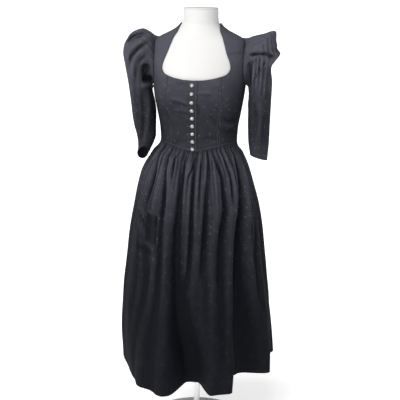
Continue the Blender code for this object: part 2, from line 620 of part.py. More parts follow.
def fold_depth(angle, z):
    """Metres by which the folds draw the skirt in at this angle and height."""
    total = 0.0
    for rows in SKIRT_FOLDS.values():
        heights = [row[0] for row in rows]
        if not min(heights) - 1 <= z * 1000 <= max(heights) + FOLD_OVERRUN:
            continue
        at, half_width, depth = table_at(rows, z)
        away = (angle - at + 180) % 360 - 180
        steep = 2 + min(STEEP_MOST, max(0.0, (depth - STEEP_FROM) / STEEP_SPAN))
        total += depth / 1000 * math.exp(-abs(away / half_width) ** steep)
    return total


def gather_rise(number, z, top):
    """Gathers alternate between valleys and ridges, uneven in height, and fade down the skirt."""
    if number % 2 == 0:
        return 0.0
    uneven = 0.72 + 0.28 * math.sin(number * 2.4) * math.cos(number * 0.9)
    return GATHER_RISE * uneven * float(np.interp(top - z, GATHER_DROPS, GATHER_SHARES))


SKIRT_DROPS = (0, 0.012, 0.032, 0.058, 0.092)  # the upper rows, below the waist seam
SKIRT_LEVELS = (0.905, 0.845, 0.770, 0.685, 0.590, 0.490, 0.400, 0.315, HEM_HEIGHT)
LEAST_LEAN = 0.4          # keeps the wall's inset finite on a steep fold


def skirt_point(angle, z, top, number, inset=0.0):
    """A point of the skirt's wall. Its upper edge carries on the bodice's lower one."""
    seam_x, seam_y, _ = on_body(angle, top, EASE + CLOTH)
    away = float(ease(top - z, 0.0, WAIST_BLEND))
    x, y = (away * bell + (1 - away) * seam
            for bell, seam in zip(bell_radii(angle, z), (seam_x, seam_y)))
    radius = math.hypot(x, y)
    out = gather_rise(number, z, top) - fold_depth(angle, z) * min(1.0, (top - z) / FOLD_START)
    grow = (radius + out - inset) / radius
    return np.array([x * grow, y * grow, z])


def skirt_height(angle, level):
    """Height of a row of the skirt. The upper rows follow the waist seam."""
    if level >= len(SKIRT_DROPS):
        return SKIRT_LEVELS[level - len(SKIRT_DROPS)]
    drop = SKIRT_DROPS[level]
    dip = (waist_height(angle) - WAIST_SIDE) * (1 - drop / WAIST_DIP_FADE)
    return WAIST_SIDE - SEAM - drop + dip


def wall_inset(angle, z, top, number):
    """How far the wall's inner side lies in along the radius, for cloth of even thickness."""
    before, after = (skirt_point(angle + turn, z, top, number)[:2] for turn in (-1.0, 1.0))
    slant = np.linalg.norm(before) - np.linalg.norm(after)
    run = np.linalg.norm(before - after)
    return CLOTH / max(LEAST_LEAN, math.sqrt(max(0.0, 1 - (slant / run) ** 2)))


def build_skirt():
    step = 360 / (2 * GATHERS)
    for name, first_number in (("skirt_front", 0), ("skirt_back", GATHERS)):
        outside, inside = [], []
        for level in range(len(SKIRT_DROPS) + len(SKIRT_LEVELS)):
            out_row, in_row = [], []
            for number in range(first_number, first_number + GATHERS + 1):
                angle = (number * step + 90) % 360 - 180
                z, top = skirt_height(angle, level), waist_height(angle) - SEAM
                out_row.append(skirt_point(angle, z, top, number))
                in_row.append(skirt_point(angle, z, top, number, wall_inset(angle, z, top, number)))
            outside.append(out_row)
            inside.append(in_row)
        outside, inside = np.array(outside), np.array(inside)
        for points in (outside, inside):
            points[:, [0, -1], 1] += SEAM / 2 if first_number else -SEAM / 2
        numbers = np.arange(outside.shape[0] * outside.shape[1]).reshape(outside.shape[:2])
        wall(name, outside.reshape(-1, 3), inside.reshape(-1, 3), grid_faces(numbers), COTTON)


def main():
    for old in list(bpy.data.objects):
        bpy.data.objects.remove(old)
    build_form()
    build_bodice()
    build_buttons()
    build_sleeve("sleeve_right", SLEEVE_RIGHT, TILT_RIGHT, True)
    build_sleeve("sleeve_left", SLEEVE_LEFT, TILT_LEFT, False)
    build_skirt()


main()
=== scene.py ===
import math

import bmesh
import bpy
import numpy as np
from mathutils import Matrix, Vector


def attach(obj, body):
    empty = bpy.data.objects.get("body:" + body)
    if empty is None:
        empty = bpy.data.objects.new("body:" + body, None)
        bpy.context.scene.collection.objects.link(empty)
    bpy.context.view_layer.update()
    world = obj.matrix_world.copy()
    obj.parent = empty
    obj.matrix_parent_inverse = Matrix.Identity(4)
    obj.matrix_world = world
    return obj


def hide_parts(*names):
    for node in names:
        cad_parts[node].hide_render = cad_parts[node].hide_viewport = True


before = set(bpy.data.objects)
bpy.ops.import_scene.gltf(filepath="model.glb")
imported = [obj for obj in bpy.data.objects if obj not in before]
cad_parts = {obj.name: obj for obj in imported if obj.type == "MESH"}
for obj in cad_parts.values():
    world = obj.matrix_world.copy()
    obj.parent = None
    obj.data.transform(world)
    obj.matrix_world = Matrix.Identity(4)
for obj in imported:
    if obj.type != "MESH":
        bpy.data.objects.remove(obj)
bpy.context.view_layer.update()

bl_info = {
    "name": "Dirndl on a dress form",
    "version": (1, 0, 0),
    "blender": (4, 5, 0),
    "location": "3D View > Sidebar > Dirndl",
    "description": "Builds a dark gathered dirndl on its limbless dress form",
    "category": "Add Mesh",
}

# Metres, +Z up, the wearer's front towards -Y. A place on the body or the skirt is an angle in
# degrees (0 front, +90 at +X, 180 back) and a height.

# Sizes shared with the solids
EASE = 0.0015
SEAM = 0.0003
CLOTH = 0.0020
SHOULDER_EASE = 0.0015
SHOULDER_START, SHOULDER_BLEND = 1.365, 0.025
BUST_FULLNESS, BUST_HEIGHT, BUST_ANGLE, BUST_TALL = 0.015, 1.218, 38.0, 0.055
CUP_SPREAD, FORM_CUP_SPREAD = 26.0, 20.0
WAIST_SIDE, WAIST_DIP_FRONT, WAIST_DIP_BACK = 1.057, 0.021, 0.008
DIP_WIDTH_FRONT, DIP_WIDTH_BACK = 32, 35
HEM_HEIGHT = 0.240
GATHERS = 52
SLEEVE_GATHERS = 12
SLEEVE_TOP_ARC = 230.0
LAP_EDGE, LAP_UNDER = 5.0, -6.0
BUTTON_COUNT, BUTTON_ANGLE = 9, -1.3
BUTTON_TOP, BUTTON_BOTTOM = 1.257, 1.044
POLE_RADIUS, BASE_RADIUS, BASE_HEIGHT = 0.011, 0.190, 0.014
TORSO_BOTTOM, NECK_TOP, CAP_HEIGHT = 0.862, 1.4965, 0.005

# The form's rings in millimetres: z, half_width, front, back, centre_y
FORM_RINGS = (
    (862, 146, 112, 122, 0), (900, 156, 122, 138, 0), (960, 152, 117, 130, 0),
    (1000, 140, 107, 112, 0), (1050, 127, 98, 92, 0), (1100, 129.5, 103, 90, 1),
    (1160, 139.5, 113, 96, 3), (1220, 149.5, 122, 102, 5), (1270, 155, 117, 106, 7),
    (1320, 158, 100, 107, 9), (1358, 157, 83, 102, 11), (1382, 153, 72, 94, 13),
    (1394, 146, 67, 89, 14), (1403, 134, 64, 85, 14), (1412, 116, 61, 81, 15),
    (1424, 92, 57, 74, 16), (1438, 73, 53, 65, 17), (1452, 62, 50, 58, 18),
    (1470, 59, 50, 56, 18), (1500, 58.5, 50, 56, 18),
)

# The skirt's bell in millimetres: z, right_side, left_side, front, back
BELL_RINGS = (
    (1057, 131.5, 131.5, 101, 95), (1034, 146, 144, 116, 112), (998, 172, 163, 136, 134),
    (970, 190, 175, 150, 152), (943, 203, 184, 162, 168), (900, 214, 197, 178, 190),
    (834, 226, 216, 196, 214), (760, 241, 230, 213, 236), (686, 251, 239, 228, 256),
    (610, 262, 250, 242, 274), (496, 276, 264, 260, 296), (340, 290, 281, 279, 320),
    (240, 292, 288, 289, 334),
)

# The large folds on the solids' form: z in millimetres, angle, right_width and left_width in
# degrees (the wearer's), depth in millimetres. A negative depth is a ridge. Most of them lean: one
# side is steep, as where cloth lies over cloth.
LARGE_FOLDS = {
    "front_recess": ((1030, -12.5, 1.8, 3, 4), (870, -9.8, 1.8, 4.5, 14), (790, -10.6, 1.8, 6, 19),
        (690, -10.2, 2, 8, 25), (560, -8.4, 2.4, 12, 34), (450, -5.2, 3.8, 15, 54),
        (350, 0.5, 7.5, 14.5, 86), (240, 4.6, 10.6, 12, 114)),
    "front_inner_left": ((1030, 4.5, 1.8, 2.5, 5), (950, 3.2, 2, 3, 11), (760, 3, 2.2, 3.2, 13),
        (690, 2.3, 2.2, 3.2, 12), (615, -0.5, 2.2, 3.5, 10), (550, -6, 2, 3.5, 0)),
    "front_inner_right": ((1030, 20.4, 1.8, 2.5, 5), (950, 18.2, 2, 3, 10), (800, 15, 2.2, 3.2, 14),
        (690, 13, 2.2, 3.2, 10), (600, 12, 2, 3, 0)),
    "front_right": ((1030, 29, 1.8, 2.5, 5), (995, 31.4, 2, 3, 9), (950, 35.5, 2.2, 3.2, 14),
        (860, 35, 2.4, 4, 16), (790, 30, 2.4, 4, 15), (690, 27.5, 2.4, 4.5, 11),
        (560, 26.2, 2.4, 4, 0)),
    "right_recess": ((1030, 61, 2.2, 3, 5), (950, 60, 2.4, 4.5, 16), (900, 57, 2.6, 5, 19),
        (830, 51, 2.8, 6, 25), (780, 46.4, 2.8, 7, 29), (690, 43.6, 3, 9, 33),
        (600, 43, 3.6, 12, 41), (480, 43.6, 5.5, 17, 58), (350, 48, 9, 22, 86),
        (240, 55, 16.5, 21.5, 112)),
    "hip_right": ((1020, -53, 3, 6), (945, -43.5, 3.5, 12), (900, -44.5, 4, 10), (850, -46, 4, 0)),
    "hip_front_right": ((1020, -35, 3, 5), (945, -27.5, 3, 11), (875, -25, 3.5, 9),
        (820, -24, 3.5, 0)),
    "thigh_right": ((860, -45, 5, 0), (755, -41.5, 6, 9), (670, -38, 6.5, 10), (560, -35, 7, 7),
        (450, -33, 7, 0)),
    "side_right": ((960, -72, 5, 0), (800, -70, 7, 6), (600, -70, 11, 10), (400, -69, 18, 22),
        (240, -68, 22, 38)),
    "back_right_side": ((1030, -101, 3, 4), (900, -103, 5, 14), (700, -106, 7, 30),
        (450, -108, 9, 52), (240, -110, 10, 78)),
    "back_right": ((1030, -131, 3, 5), (900, -129, 5, 15), (700, -133, 6, 26), (450, -137, 8, 44),
        (240, -139, 9, 66)),
    "back_middle_right": ((1030, -158, 3, 4), (900, -161, 4, 13), (700, -165, 6, 22),
        (450, -166, 8, 42), (240, -166, 10, 74)),
    "back_middle_left": ((1030, 173, 3, 4), (900, 170, 4.5, 14), (700, 166, 6, 25),
        (450, 166, 7, 38), (240, 165, 8, 58)),
    "back_left": ((1030, 147, 3, 5), (900, 144, 5, 15), (700, 141, 7, 30), (450, 139, 9, 56),
        (240, 138, 11, 84)),
    "back_left_side": ((1030, 112, 3, 4), (900, 110, 5, 14), (700, 107, 6, 24), (450, 105, 8, 40),
        (240, 104, 9, 60)),
    "side_left": ((960, 84, 4, 0), (800, 83, 5, 7), (650, 83, 6, 9), (450, 88, 8, 10),
        (240, 90, 11, 20)),
    "ridge_back_left": ((800, 122, 6, 0), (600, 122, 7, -6), (400, 122, 7, -12),
        (240, 122, 8, -16)),
    "ridge_front_right": ((870, -18.5, 5, -4), (720, -15.8, 5, -7), (590, -16, 5, -8),
        (420, -15, 6, -14), (240, -13.5, 6, -24)),
    "ridge_front_left": ((700, 22, 5, 0), (600, 22, 5, -5), (420, 22.5, 5, -5), (240, 25, 6, 6)),
}

# Finer folds that only the cloth has, with the same columns or with one width for both sides
FINE_FOLDS = {
    "waist_valley_hip": ((1042, -56, 1.2, 2), (1000, -50, 1.5, 7), (945, -43.5, 1.7, 9),
        (900, -44.5, 2, 7), (840, -46, 2, 0)),
    "waist_valley_pair": ((1040, -47, 1, 2), (1000, -41, 1.3, 7), (950, -38, 1.5, 8),
        (900, -38, 1.6, 5), (850, -39, 1.6, 0)),
    "waist_valley_right": ((1036, -34.5, 1, 2), (1000, -31, 1.3, 8), (960, -28, 1.5, 9),
        (900, -26, 1.7, 8), (830, -24.4, 1.8, 6), (800, -24, 1.8, 0)),
    "waist_valley_second": ((1036, -25, 1, 3), (1000, -21, 1.3, 8), (950, -19.5, 1.4, 5),
        (900, -19, 1.4, 0)),
    "waist_valley_third": ((1034, -18.5, 1, 2), (1000, -16, 1.2, 7), (940, -15, 1.4, 5),
        (890, -15, 1.4, 0)),
    "waist_valley_middle": ((1033, -9, 1, 2), (1000, -8.4, 1.2, 7), (960, -8, 1.4, 8),
        (900, -9, 1.5, 6), (860, -10, 1.6, 0)),
    "waist_valley_centre": ((1033, 2.4, 0.9, 3), (1000, 1.6, 1.2, 8), (960, -2.4, 1.3, 7),
        (900, -3, 1.4, 5), (840, -3.4, 1.4, 0)),
    "waist_valley_inner": ((1034, 12, 0.9, 2), (1000, 11, 1.2, 7), (955, 10.4, 1.3, 7),
        (900, 10, 1.4, 6), (820, 9.4, 1.4, 0)),
    "waist_valley_left": ((1036, 40, 1, 2), (1000, 43, 1.3, 8), (940, 46, 1.6, 9),
        (880, 45, 1.8, 7), (820, 42, 2, 0)),
    "waist_valley_outer": ((1040, 50, 1, 2), (1000, 51.5, 1.3, 7), (950, 52.5, 1.6, 6),
        (900, 52, 2, 0)),
    "waist_valley_near_left": ((1036, 25, 1, 2), (1000, 24.6, 1.2, 7), (950, 25, 1.3, 7),
        (890, 25.6, 1.4, 5), (830, 24, 1.4, 0)),
    "waist_valley_far_left": ((1038, 34, 1, 2), (1000, 37, 1.2, 6), (960, 39.6, 1.3, 6),
        (900, 40, 1.4, 0)),
    "ridge_centre": ((1020, 8, 2, -2), (936, 7.5, 2.2, -5), (847, 6.9, 2.4, -6),
        (754, 8.5, 2.6, -5), (650, 9, 3, 0)),
    "ridge_side_front": ((1010, 24, 1.8, -2), (936, 26.5, 2.4, -6), (849, 26, 2.6, -6),
        (760, 22, 2.6, -6), (640, 21, 2.6, -7), (500, 21, 2.8, -7), (380, 22, 3, -6),
        (280, 22, 3, -2)),
    "ridge_hip_left": ((1010, 51, 2, -1), (947, 50.5, 2.2, -6), (900, 48, 2.4, -7),
        (800, 39, 2.6, -7), (709, 37, 2.8, -8), (620, 34.6, 2.8, -8), (500, 34, 3, -6),
        (400, 33, 3, -5), (300, 30, 3, 0)),
    "ridge_hip_side": ((1010, 70, 2, -1), (940, 69, 3, -5), (860, 64.5, 3.2, -8),
        (760, 57, 3.4, -8), (640, 58, 3.6, -8), (500, 62, 4, -6), (380, 70, 5, -3),
        (300, 72, 5, 0)),
    "valley_side_left": ((900, 76, 3, 0), (800, 72.5, 3, 5), (680, 66, 3, 8), (560, 66, 3, 7),
        (470, 72, 4, 0)),
    "ridge_front": ((980, -21, 2, -2), (880, -18.3, 2.2, -6), (724, -15.4, 2.4, -8),
        (594, -13.4, 2.6, -8), (423, -12.2, 3, -6), (251, -11.6, 3, -2)),
    "valley_front_right": ((900, -24.5, 2, 0), (800, -24, 2.4, 5), (700, -22, 2.6, 8),
        (560, -21, 3, 7), (420, -22, 4, 5), (300, -24, 5, 3), (240, -25, 5, 2)),
    "valley_thigh": ((700, -31, 4, 0), (600, -32.5, 4, 6), (480, -37, 5, 8), (340, -42, 6, 10),
        (240, -44, 7, 12)),
    "ridge_thigh": ((960, -36, 3, 0), (860, -34, 3.4, -5), (760, -30, 4, -6), (640, -27, 4, -6),
        (500, -30, 4.4, -6), (330, -33, 6, -5), (240, -34, 6, -5)),
    "valley_side_right": ((820, -52, 3, 0), (720, -50, 3.4, 6), (600, -47, 4, 8), (470, -48, 5, 7),
        (340, -52, 6, 5), (240, -54, 6, 4)),
    "crease_back_one": ((1030, 128, 2, 2), (900, 126, 2.4, 6), (760, 124, 3, 6), (560, 122, 4, 0)),
    "crease_back_two": ((1030, -147, 2, 2), (900, -146, 2.4, 6), (700, -149, 3, 7),
        (500, -152, 4, 0)),
    "crease_back_three": ((1030, 158, 2, 2), (900, 157, 2.4, 5), (700, 154, 3, 7),
        (500, 153, 4, 0)),
    "crease_back_four": ((1030, -117, 2, 2), (900, -116, 2.4, 6), (700, -119, 3, 6),
        (480, -122, 4, 0)),
    "crease_back_five": ((1030, 98, 2, 2), (900, 97, 2.4, 5), (700, 95, 3, 6), (480, 95, 4, 0)),
    "ridge_back_middle": ((980, -179, 3, -1), (860, -179, 3.4, -6), (700, -179, 4, -7),
        (480, -179, 5, -6), (240, -179, 6, -4)),
}

# Lines on the bodice for the half at +X: (angle in degrees, height in millimetres)
NECKLINE_BOTTOM = ((0, 1272), (12, 1273.5), (24, 1278.5), (33, 1284.5))
NECKLINE_SIDE = ((33, 1284.5), (41, 1293), (45.2, 1308), (43.5, 1330), (39.5, 1352), (36.5, 1375),
                 (36, 1396), (44, 1416), (57, 1432), (73, 1444), (90, 1452))
NECKLINE_BACK = ((180, 1384), (168, 1386), (154, 1393), (142, 1406), (128, 1426), (110, 1444),
                 (90, 1452))
ARMHOLE_FRONT = ((90, 1250), (80, 1258), (73, 1278), (69.5, 1308), (70, 1345), (76, 1378),
                 (90, 1400))
ARMHOLE_BACK_LOW = ((90, 1250), (101, 1257), (109, 1276), (113.5, 1300), (114.5, 1328))
ARMHOLE_BACK_HIGH = ((114.5, 1328), (113, 1350), (106, 1379), (90, 1400))
PRINCESS_FRONT = ((39, 1052), (36, 1120), (33.5, 1200), (33, 1284.5))
SEAM_BACK = ((150, 1052), (148, 1120), (143, 1190), (133, 1260), (122, 1308), (114.5, 1328))
SIDE_SEAM = ((90, 1057), (90, 1150), (90, 1250))
SHOULDER = ((90, 1400), (90, 1410), (90, 1426), (90, 1452))

# The sleeves' rings in millimetres, from the armhole to the hem: outer_x, outer_z, inner_x,
# inner_z, half_depth, middle_y, rise, level
SLEEVE_RIGHT = (
    (168, 1414, 163, 1244, 50, 13, 0.6, 1.2), (200, 1426, 165, 1238, 56, 10, 1.0, 1.3),
    (232, 1411, 166, 1230, 60, 8, 1.0, 1.4), (253, 1386, 165, 1221, 61, 6, 0.8, 1.5),
    (262, 1356, 163, 1210, 59, 4, 0.5, 1.5), (256, 1308, 160, 1194, 56, 2, 0.2, 1.4),
    (245, 1256, 155, 1172, 53, -3, 0.0, 1.3), (233, 1187, 149, 1140, 50, -11, 0.0, 1.1),
    (221, 1118, 146, 1096, 47, -22, 0.0, 1.0), (205, 1060, 146, 1066, 44, -34, 0.0, 1.0),
    (202, 1024, 157, 1042, 43, -43, 0.0, 1.0), (203, 1003, 169, 1028, 42, -49, 0.0, 1.0),
)
TILT_RIGHT, TILT_LEFT = (4, 14, 24), (0, 2, 4)  # how far the last rings' fronts are raised, mm

SLEEVE_LEFT = (
    (172, 1408, 163, 1244, 50, 13, 0.5, 1.5), (212, 1418, 165, 1238, 56, 10, 0.7, 1.8),
    (252, 1425, 166, 1230, 59, 8, 0.7, 2.0), (254, 1398, 167, 1223, 60, 7, 0.7, 2.4),
    (257, 1372, 167, 1216, 61, 6, 0.8, 3.0), (268, 1353, 167, 1208, 65, 4, 1.0, 3.0),
    (256, 1334, 167, 1200, 59, 2, 1.0, 3.0), (243, 1316, 166, 1190, 53, 1, 0.7, 2.8),
    (245, 1262, 167, 1168, 50, -2, 0.2, 2.2), (244, 1190, 168, 1134, 48, -7, 0.0, 1.6),
    (243, 1120, 170, 1094, 46, -13, 0.0, 1.2), (242, 1060, 173, 1058, 44, -19, 0.0, 1.0),
    (238, 1003, 180, 1020, 42, -25, 0.0, 1.0),
)

# Creases seen from the front: name, depth and width in millimetres, then (x, z) points in
# millimetres. A negative depth is a ridge. Each one is repeated, a little moved, on the back.
BODICE_CREASES = (
    ("under_bust_upper", 1.2, 5.5, ((-80, 1206), (-48, 1200), (-10, 1189))),
    ("under_bust_upper_ridge", -1.8, 6, ((-78, 1217), (-46, 1211), (-10, 1200))),
    ("under_bust_lower", 1.0, 5, ((-74, 1164), (-42, 1167), (-11, 1164))),
    ("under_bust_lower_ridge", -1.4, 6, ((-72, 1175), (-42, 1178), (-11, 1176))),
    ("top_button", 0.9, 4, ((-60, 1262), (-36, 1263), (-11, 1257))),
    ("left_upper", 1.0, 5, ((12, 1224), (32, 1229), (67, 1227))),
    ("left_upper_ridge", -1.2, 5, ((12, 1233), (32, 1238), (64, 1237))),
    ("left_drop", 0.9, 4, ((9, 1204), (19, 1187), (22, 1148))),
    ("strap_left", 0.9, 5, ((100, 1357), (127, 1359), (152, 1358))),
    ("waist_right", 0.9, 5, ((-76, 1052), (-48, 1073), (-12, 1068))),
    ("waist_left", 0.9, 5, ((20, 1078), (48, 1086), (84, 1078))),
    ("diagonal_left", 0.9, 5, ((51, 1169), (69, 1138), (91, 1106))),
    ("diagonal_right", 0.8, 6, ((-95, 1186), (-84, 1140), (-66, 1108))),
    ("side_left_one", 1.1, 6, ((92, 1150), (112, 1140), (131, 1138))),
    ("side_left_two", 1.1, 6, ((92, 1112), (112, 1100), (128, 1104))),
    ("side_left_ridge", -1.8, 6, ((92, 1130), (112, 1121), (130, 1122))),
)
SLEEVE_RIGHT_CREASES = (
    ("top_hollow", 7, 8, ((-246, 1386), (-226, 1401), (-204, 1408), (-182, 1414))),
    ("top_fold", -4, 7, ((-250, 1399), (-228, 1414), (-206, 1420), (-182, 1424))),
    ("gather_ridge", -4, 7, ((-165, 1408), (-196, 1386), (-224, 1362), (-246, 1330))),
    ("gather_hollow", 5, 6, ((-163, 1392), (-199, 1370), (-224, 1340), (-236, 1306))),
    ("second_ridge", -3, 7, ((-166, 1371), (-199, 1348), (-216, 1316), (-224, 1270))),
    ("second_hollow", 4, 6, ((-170, 1352), (-196, 1327), (-207, 1291), (-212, 1250))),
    ("armpit_hollow", 11, 10, ((-172, 1320), (-177, 1291), (-172, 1256))),
    ("armpit_low_hollow", 8, 9, ((-184, 1268), (-170, 1262), (-158, 1262))),
    ("fold_edge", -6, 6, ((-192, 1243), (-173, 1243), (-153, 1246))),
    ("hump", -4, 5, ((-184, 1280), (-174, 1284), (-164, 1276))),
    ("long_ridge", -4, 7, ((-172, 1234), (-164, 1168), (-165, 1117), (-176, 1045))),
    ("long_hollow", 4, 8, ((-187, 1236), (-181, 1168), (-178, 1116), (-189, 1045))),
    ("outer_ridge", -2.5, 9, ((-236, 1297), (-224, 1224), (-214, 1151), (-205, 1090))),
    ("outer_hollow", 2.5, 9, ((-215, 1270), (-206, 1190), (-200, 1120))),
)
SLEEVE_LEFT_CREASES = (
    ("box_fold", 6, 4.5, ((168, 1352), (194, 1358), (212, 1360), (234, 1361))),
    ("box_lip", -5, 6, ((168, 1363), (194, 1369), (232, 1371))),
    ("corner_hollow", 7, 7, ((226, 1362), (238, 1354), (256, 1350))),
    ("corner_ridge", -3, 6, ((232, 1376), (262, 1392), (268, 1400))),
    ("gather_one", 4, 4, ((184, 1350), (179, 1309), (177, 1252))),
    ("ridge_one", -3, 4, ((191, 1352), (187, 1309), (184, 1250))),
    ("gather_two", 3.5, 4, ((198, 1354), (195, 1316), (191, 1250))),
    ("ridge_two", -3, 4, ((204, 1354), (201, 1316), (198, 1240))),
    ("gather_three", 3.5, 4, ((210, 1354), (207, 1316), (205, 1246))),
    ("ridge_three", -3, 4.5, ((216, 1354), (214, 1310), (212, 1230))),
    ("gather_four", 3, 4.5, ((222, 1355), (221, 1303), (218, 1217))),
    ("ridge_four", -2.5, 5, ((229, 1350), (227, 1300), (225, 1210))),
    ("gather_five", 2.5, 5, ((238, 1330), (233, 1288), (232, 1203))),
    ("armhole_hollow", 5, 6, ((170, 1345), (171, 1300), (172, 1240))),
    ("low_one", 3, 8, ((189, 1208), (201, 1148), (196, 1085))),
    ("low_ridge", -3, 8, ((212, 1200), (216, 1140), (212, 1070))),
    ("low_two", 2.5, 7, ((228, 1167), (224, 1112), (227, 1057))),
)


class DirndlSizes(bpy.types.PropertyGroup):
    """Sizes of the cloth's finish."""

    cloth_thickness: bpy.props.FloatProperty(
        name="Cloth thickness", description="Thickness of the cotton with its lining",
        default=0.0016, min=0.0005, max=0.002, unit="LENGTH")
    gather_rise: bpy.props.FloatProperty(
        name="Gather height", description="Height of a waist gather over the valley beside it",
        default=0.0068, min=0.001, max=0.009, unit="LENGTH")
    motif_spacing: bpy.props.FloatProperty(
        name="Motif spacing", description="Distance between two sprigs of the print",
        default=0.034, min=0.02, max=0.2, unit="LENGTH")
    motif_size: bpy.props.FloatProperty(
        name="Motif size", description="Width of one sprig of the print",
        default=0.012, min=0.004, max=0.04, unit="LENGTH")
    stitch_length: bpy.props.FloatProperty(
        name="Stitch length", description="Length of one visible stitch",
        default=0.0026, min=0.001, max=0.006, unit="LENGTH")
    button_radius: bpy.props.FloatProperty(
        name="Button radius", description="Radius of a domed button",
        default=0.0060, min=0.004, max=0.0068, unit="LENGTH")


class DirndlColours(bpy.types.PropertyGroup):
    """Colours of the dress and its form."""

    cotton: bpy.props.FloatVectorProperty(
        name="Cotton", description="Ground colour of the cotton", subtype="COLOR", size=3,
        default=(0.0058, 0.0066, 0.0090), min=0.0, max=1.0)
    # Painted light: the lighter colour blended into the cotton towards the top and on ridges
    lit_cotton: bpy.props.FloatVectorProperty(
        name="Lit cotton", description="Colour of the cotton where light has faded it",
        subtype="COLOR", size=3, default=(0.066, 0.068, 0.084), min=0.0, max=1.0)
    print_light: bpy.props.FloatVectorProperty(
        name="Print", description="Colour of the fine print", subtype="COLOR", size=3,
        default=(0.130, 0.133, 0.150), min=0.0, max=1.0)
    thread: bpy.props.FloatVectorProperty(
        name="Thread", description="Colour of the sewing thread", subtype="COLOR", size=3,
        default=(0.088, 0.090, 0.104), min=0.0, max=1.0)
    jersey: bpy.props.FloatVectorProperty(
        name="Form cover", description="Colour of the form's jersey", subtype="COLOR", size=3,
        default=(0.62, 0.615, 0.605), min=0.0, max=1.0)
    pewter: bpy.props.FloatVectorProperty(
        name="Pewter", description="Colour of the buttons", subtype="COLOR", size=3,
        default=(0.66, 0.65, 0.62), min=0.0, max=1.0)


def sizes():
    return bpy.context.scene.dirndl_sizes


def colours():
    return bpy.context.scene.dirndl_colours


# Curves and the body's surface
def hermite(t, step, first, first_slope, last, last_slope):
    """Cubic between two values with these slopes, at the share t of the step between them."""
    return ((2 * t**3 - 3 * t**2 + 1) * first + (t**3 - 2 * t**2 + t) * step * first_slope
            + (3 * t**2 - 2 * t**3) * last + (t**3 - t**2) * step * last_slope)


def smooth_between(xs, ys, at):
    """Monotone cubic through the points (xs, ys), so that a profile never overshoots its rows."""
    xs, ys = np.asarray(xs, float), np.asarray(ys, float)
    step = np.diff(xs)
    rate = np.diff(ys) / step
    slope = np.concatenate(([rate[0]], np.zeros(len(xs) - 2), [rate[-1]]))
    for i in range(1, len(xs) - 1):
        if rate[i - 1] * rate[i] > 0:
            before = 2 * step[i] + step[i - 1]
            after = step[i] + 2 * step[i - 1]
            slope[i] = (before + after) / (before / rate[i - 1] + after / rate[i])
    at = np.clip(np.asarray(at, float), xs[0], xs[-1])
    i = np.clip(np.searchsorted(xs, at) - 1, 0, len(xs) - 2)
    return hermite((at - xs[i]) / step[i], step[i], ys[i], slope[i], ys[i + 1], slope[i + 1])


def table_at(table, z):
    """Every column of a table after its z column, at the height z in metres."""
    rows = np.array(sorted(table), float)
    return [smooth_between(rows[:, 0], rows[:, k], np.asarray(z) * 1000)
            for k in range(1, rows.shape[1])]


def bump(distance, width):
    return np.exp(-(distance / width) ** 2)


def ramp(value, low, high):
    share = np.clip((value - low) / (high - low), 0, 1)
    return share * share * (3 - 2 * share)


def unit(vectors):
    return vectors / np.maximum(np.linalg.norm(vectors, axis=-1, keepdims=True), 1e-12)


def spans(points, axis=0):
    """Distances between neighbouring points along an axis."""
    return np.linalg.norm(np.diff(points, axis=axis), axis=-1)


def running(steps):
    """Distances run along the steps, starting at 0."""
    return np.concatenate(([0], np.cumsum(steps)))


def body_point(angle, z, cups):
    """Points of the form's skin. The cups are wider on the cloth than on the form."""
    half_width, front, back, centre_y = (value / 1000 for value in table_at(FORM_RINGS, z))
    turn = np.radians(angle)
    depth = np.where(np.cos(turn) > 0, front, back)
    x, y = half_width * np.sin(turn), -depth * np.cos(turn)
    domes = sum(bump(angle - side, cups) for side in (-BUST_ANGLE, BUST_ANGLE))
    grow = 1 + BUST_FULLNESS * domes * bump(z - BUST_HEIGHT, BUST_TALL) / np.hypot(x, y)
    return np.stack(np.broadcast_arrays(x * grow, centre_y + y * grow, z), -1)


def body_normal(angle, z, cups=CUP_SPREAD):
    across = body_point(angle + 0.5, z, cups) - body_point(angle - 0.5, z, cups)
    up = body_point(angle, z + 0.001, cups) - body_point(angle, z - 0.001, cups)
    return unit(np.cross(across, up))


def on_body(angle, z, out, cups=CUP_SPREAD):
    """Points of the cloth that lie `out` metres off the form, along the skin's normal."""
    angle, z = np.asarray(angle, float), np.asarray(z, float)
    room = out + SHOULDER_EASE * ramp(z, SHOULDER_START, SHOULDER_START + SHOULDER_BLEND)
    return body_point(angle, z, cups) + np.asarray(room)[..., None] * body_normal(angle, z, cups)


def waist_height(angle):
    behind = np.abs(np.abs(angle) - 180)
    return (WAIST_SIDE - WAIST_DIP_FRONT * bump(angle, DIP_WIDTH_FRONT)
            - WAIST_DIP_BACK * bump(behind, DIP_WIDTH_BACK))


class Line:
    """A line on the body through (angle, millimetres) points, read by its share of length."""

    def __init__(self, *parts):
        points = np.array([point for part in parts for point in part], float)
        points[:, 1] /= 1000
        keep = [0] + [i for i in range(1, len(points)) if np.any(points[i] != points[i - 1])]
        self.points = points[keep]
        lengths = spans(body_point(self.points[:, 0], self.points[:, 1], CUP_SPREAD))
        self.share = running(lengths) / lengths.sum()

    def at(self, share):
        """Points (angle, z) on a cubic through the line's points, where the line may turn back."""
        share = np.clip(np.asarray(share, float), 0, 1)
        knots = self.share
        i = np.clip(np.searchsorted(knots, share) - 1, 0, len(knots) - 2)
        step = knots[i + 1] - knots[i]
        t = (share - knots[i]) / step
        columns = []
        for values in self.points.T:
            slopes = np.gradient(values, knots)
            columns.append(hermite(t, step, values[i], slopes[i], values[i + 1], slopes[i + 1]))
        return np.stack(columns, -1)


def stretch(line, steps, start=0.0, end=1.0, crowd=1.0):
    """Points along a line. A crowd over 1 puts them closer together towards its end."""
    shares = 1 - (1 - np.arange(steps + 1) / steps) ** crowd
    return line.at(start + (end - start) * shares)


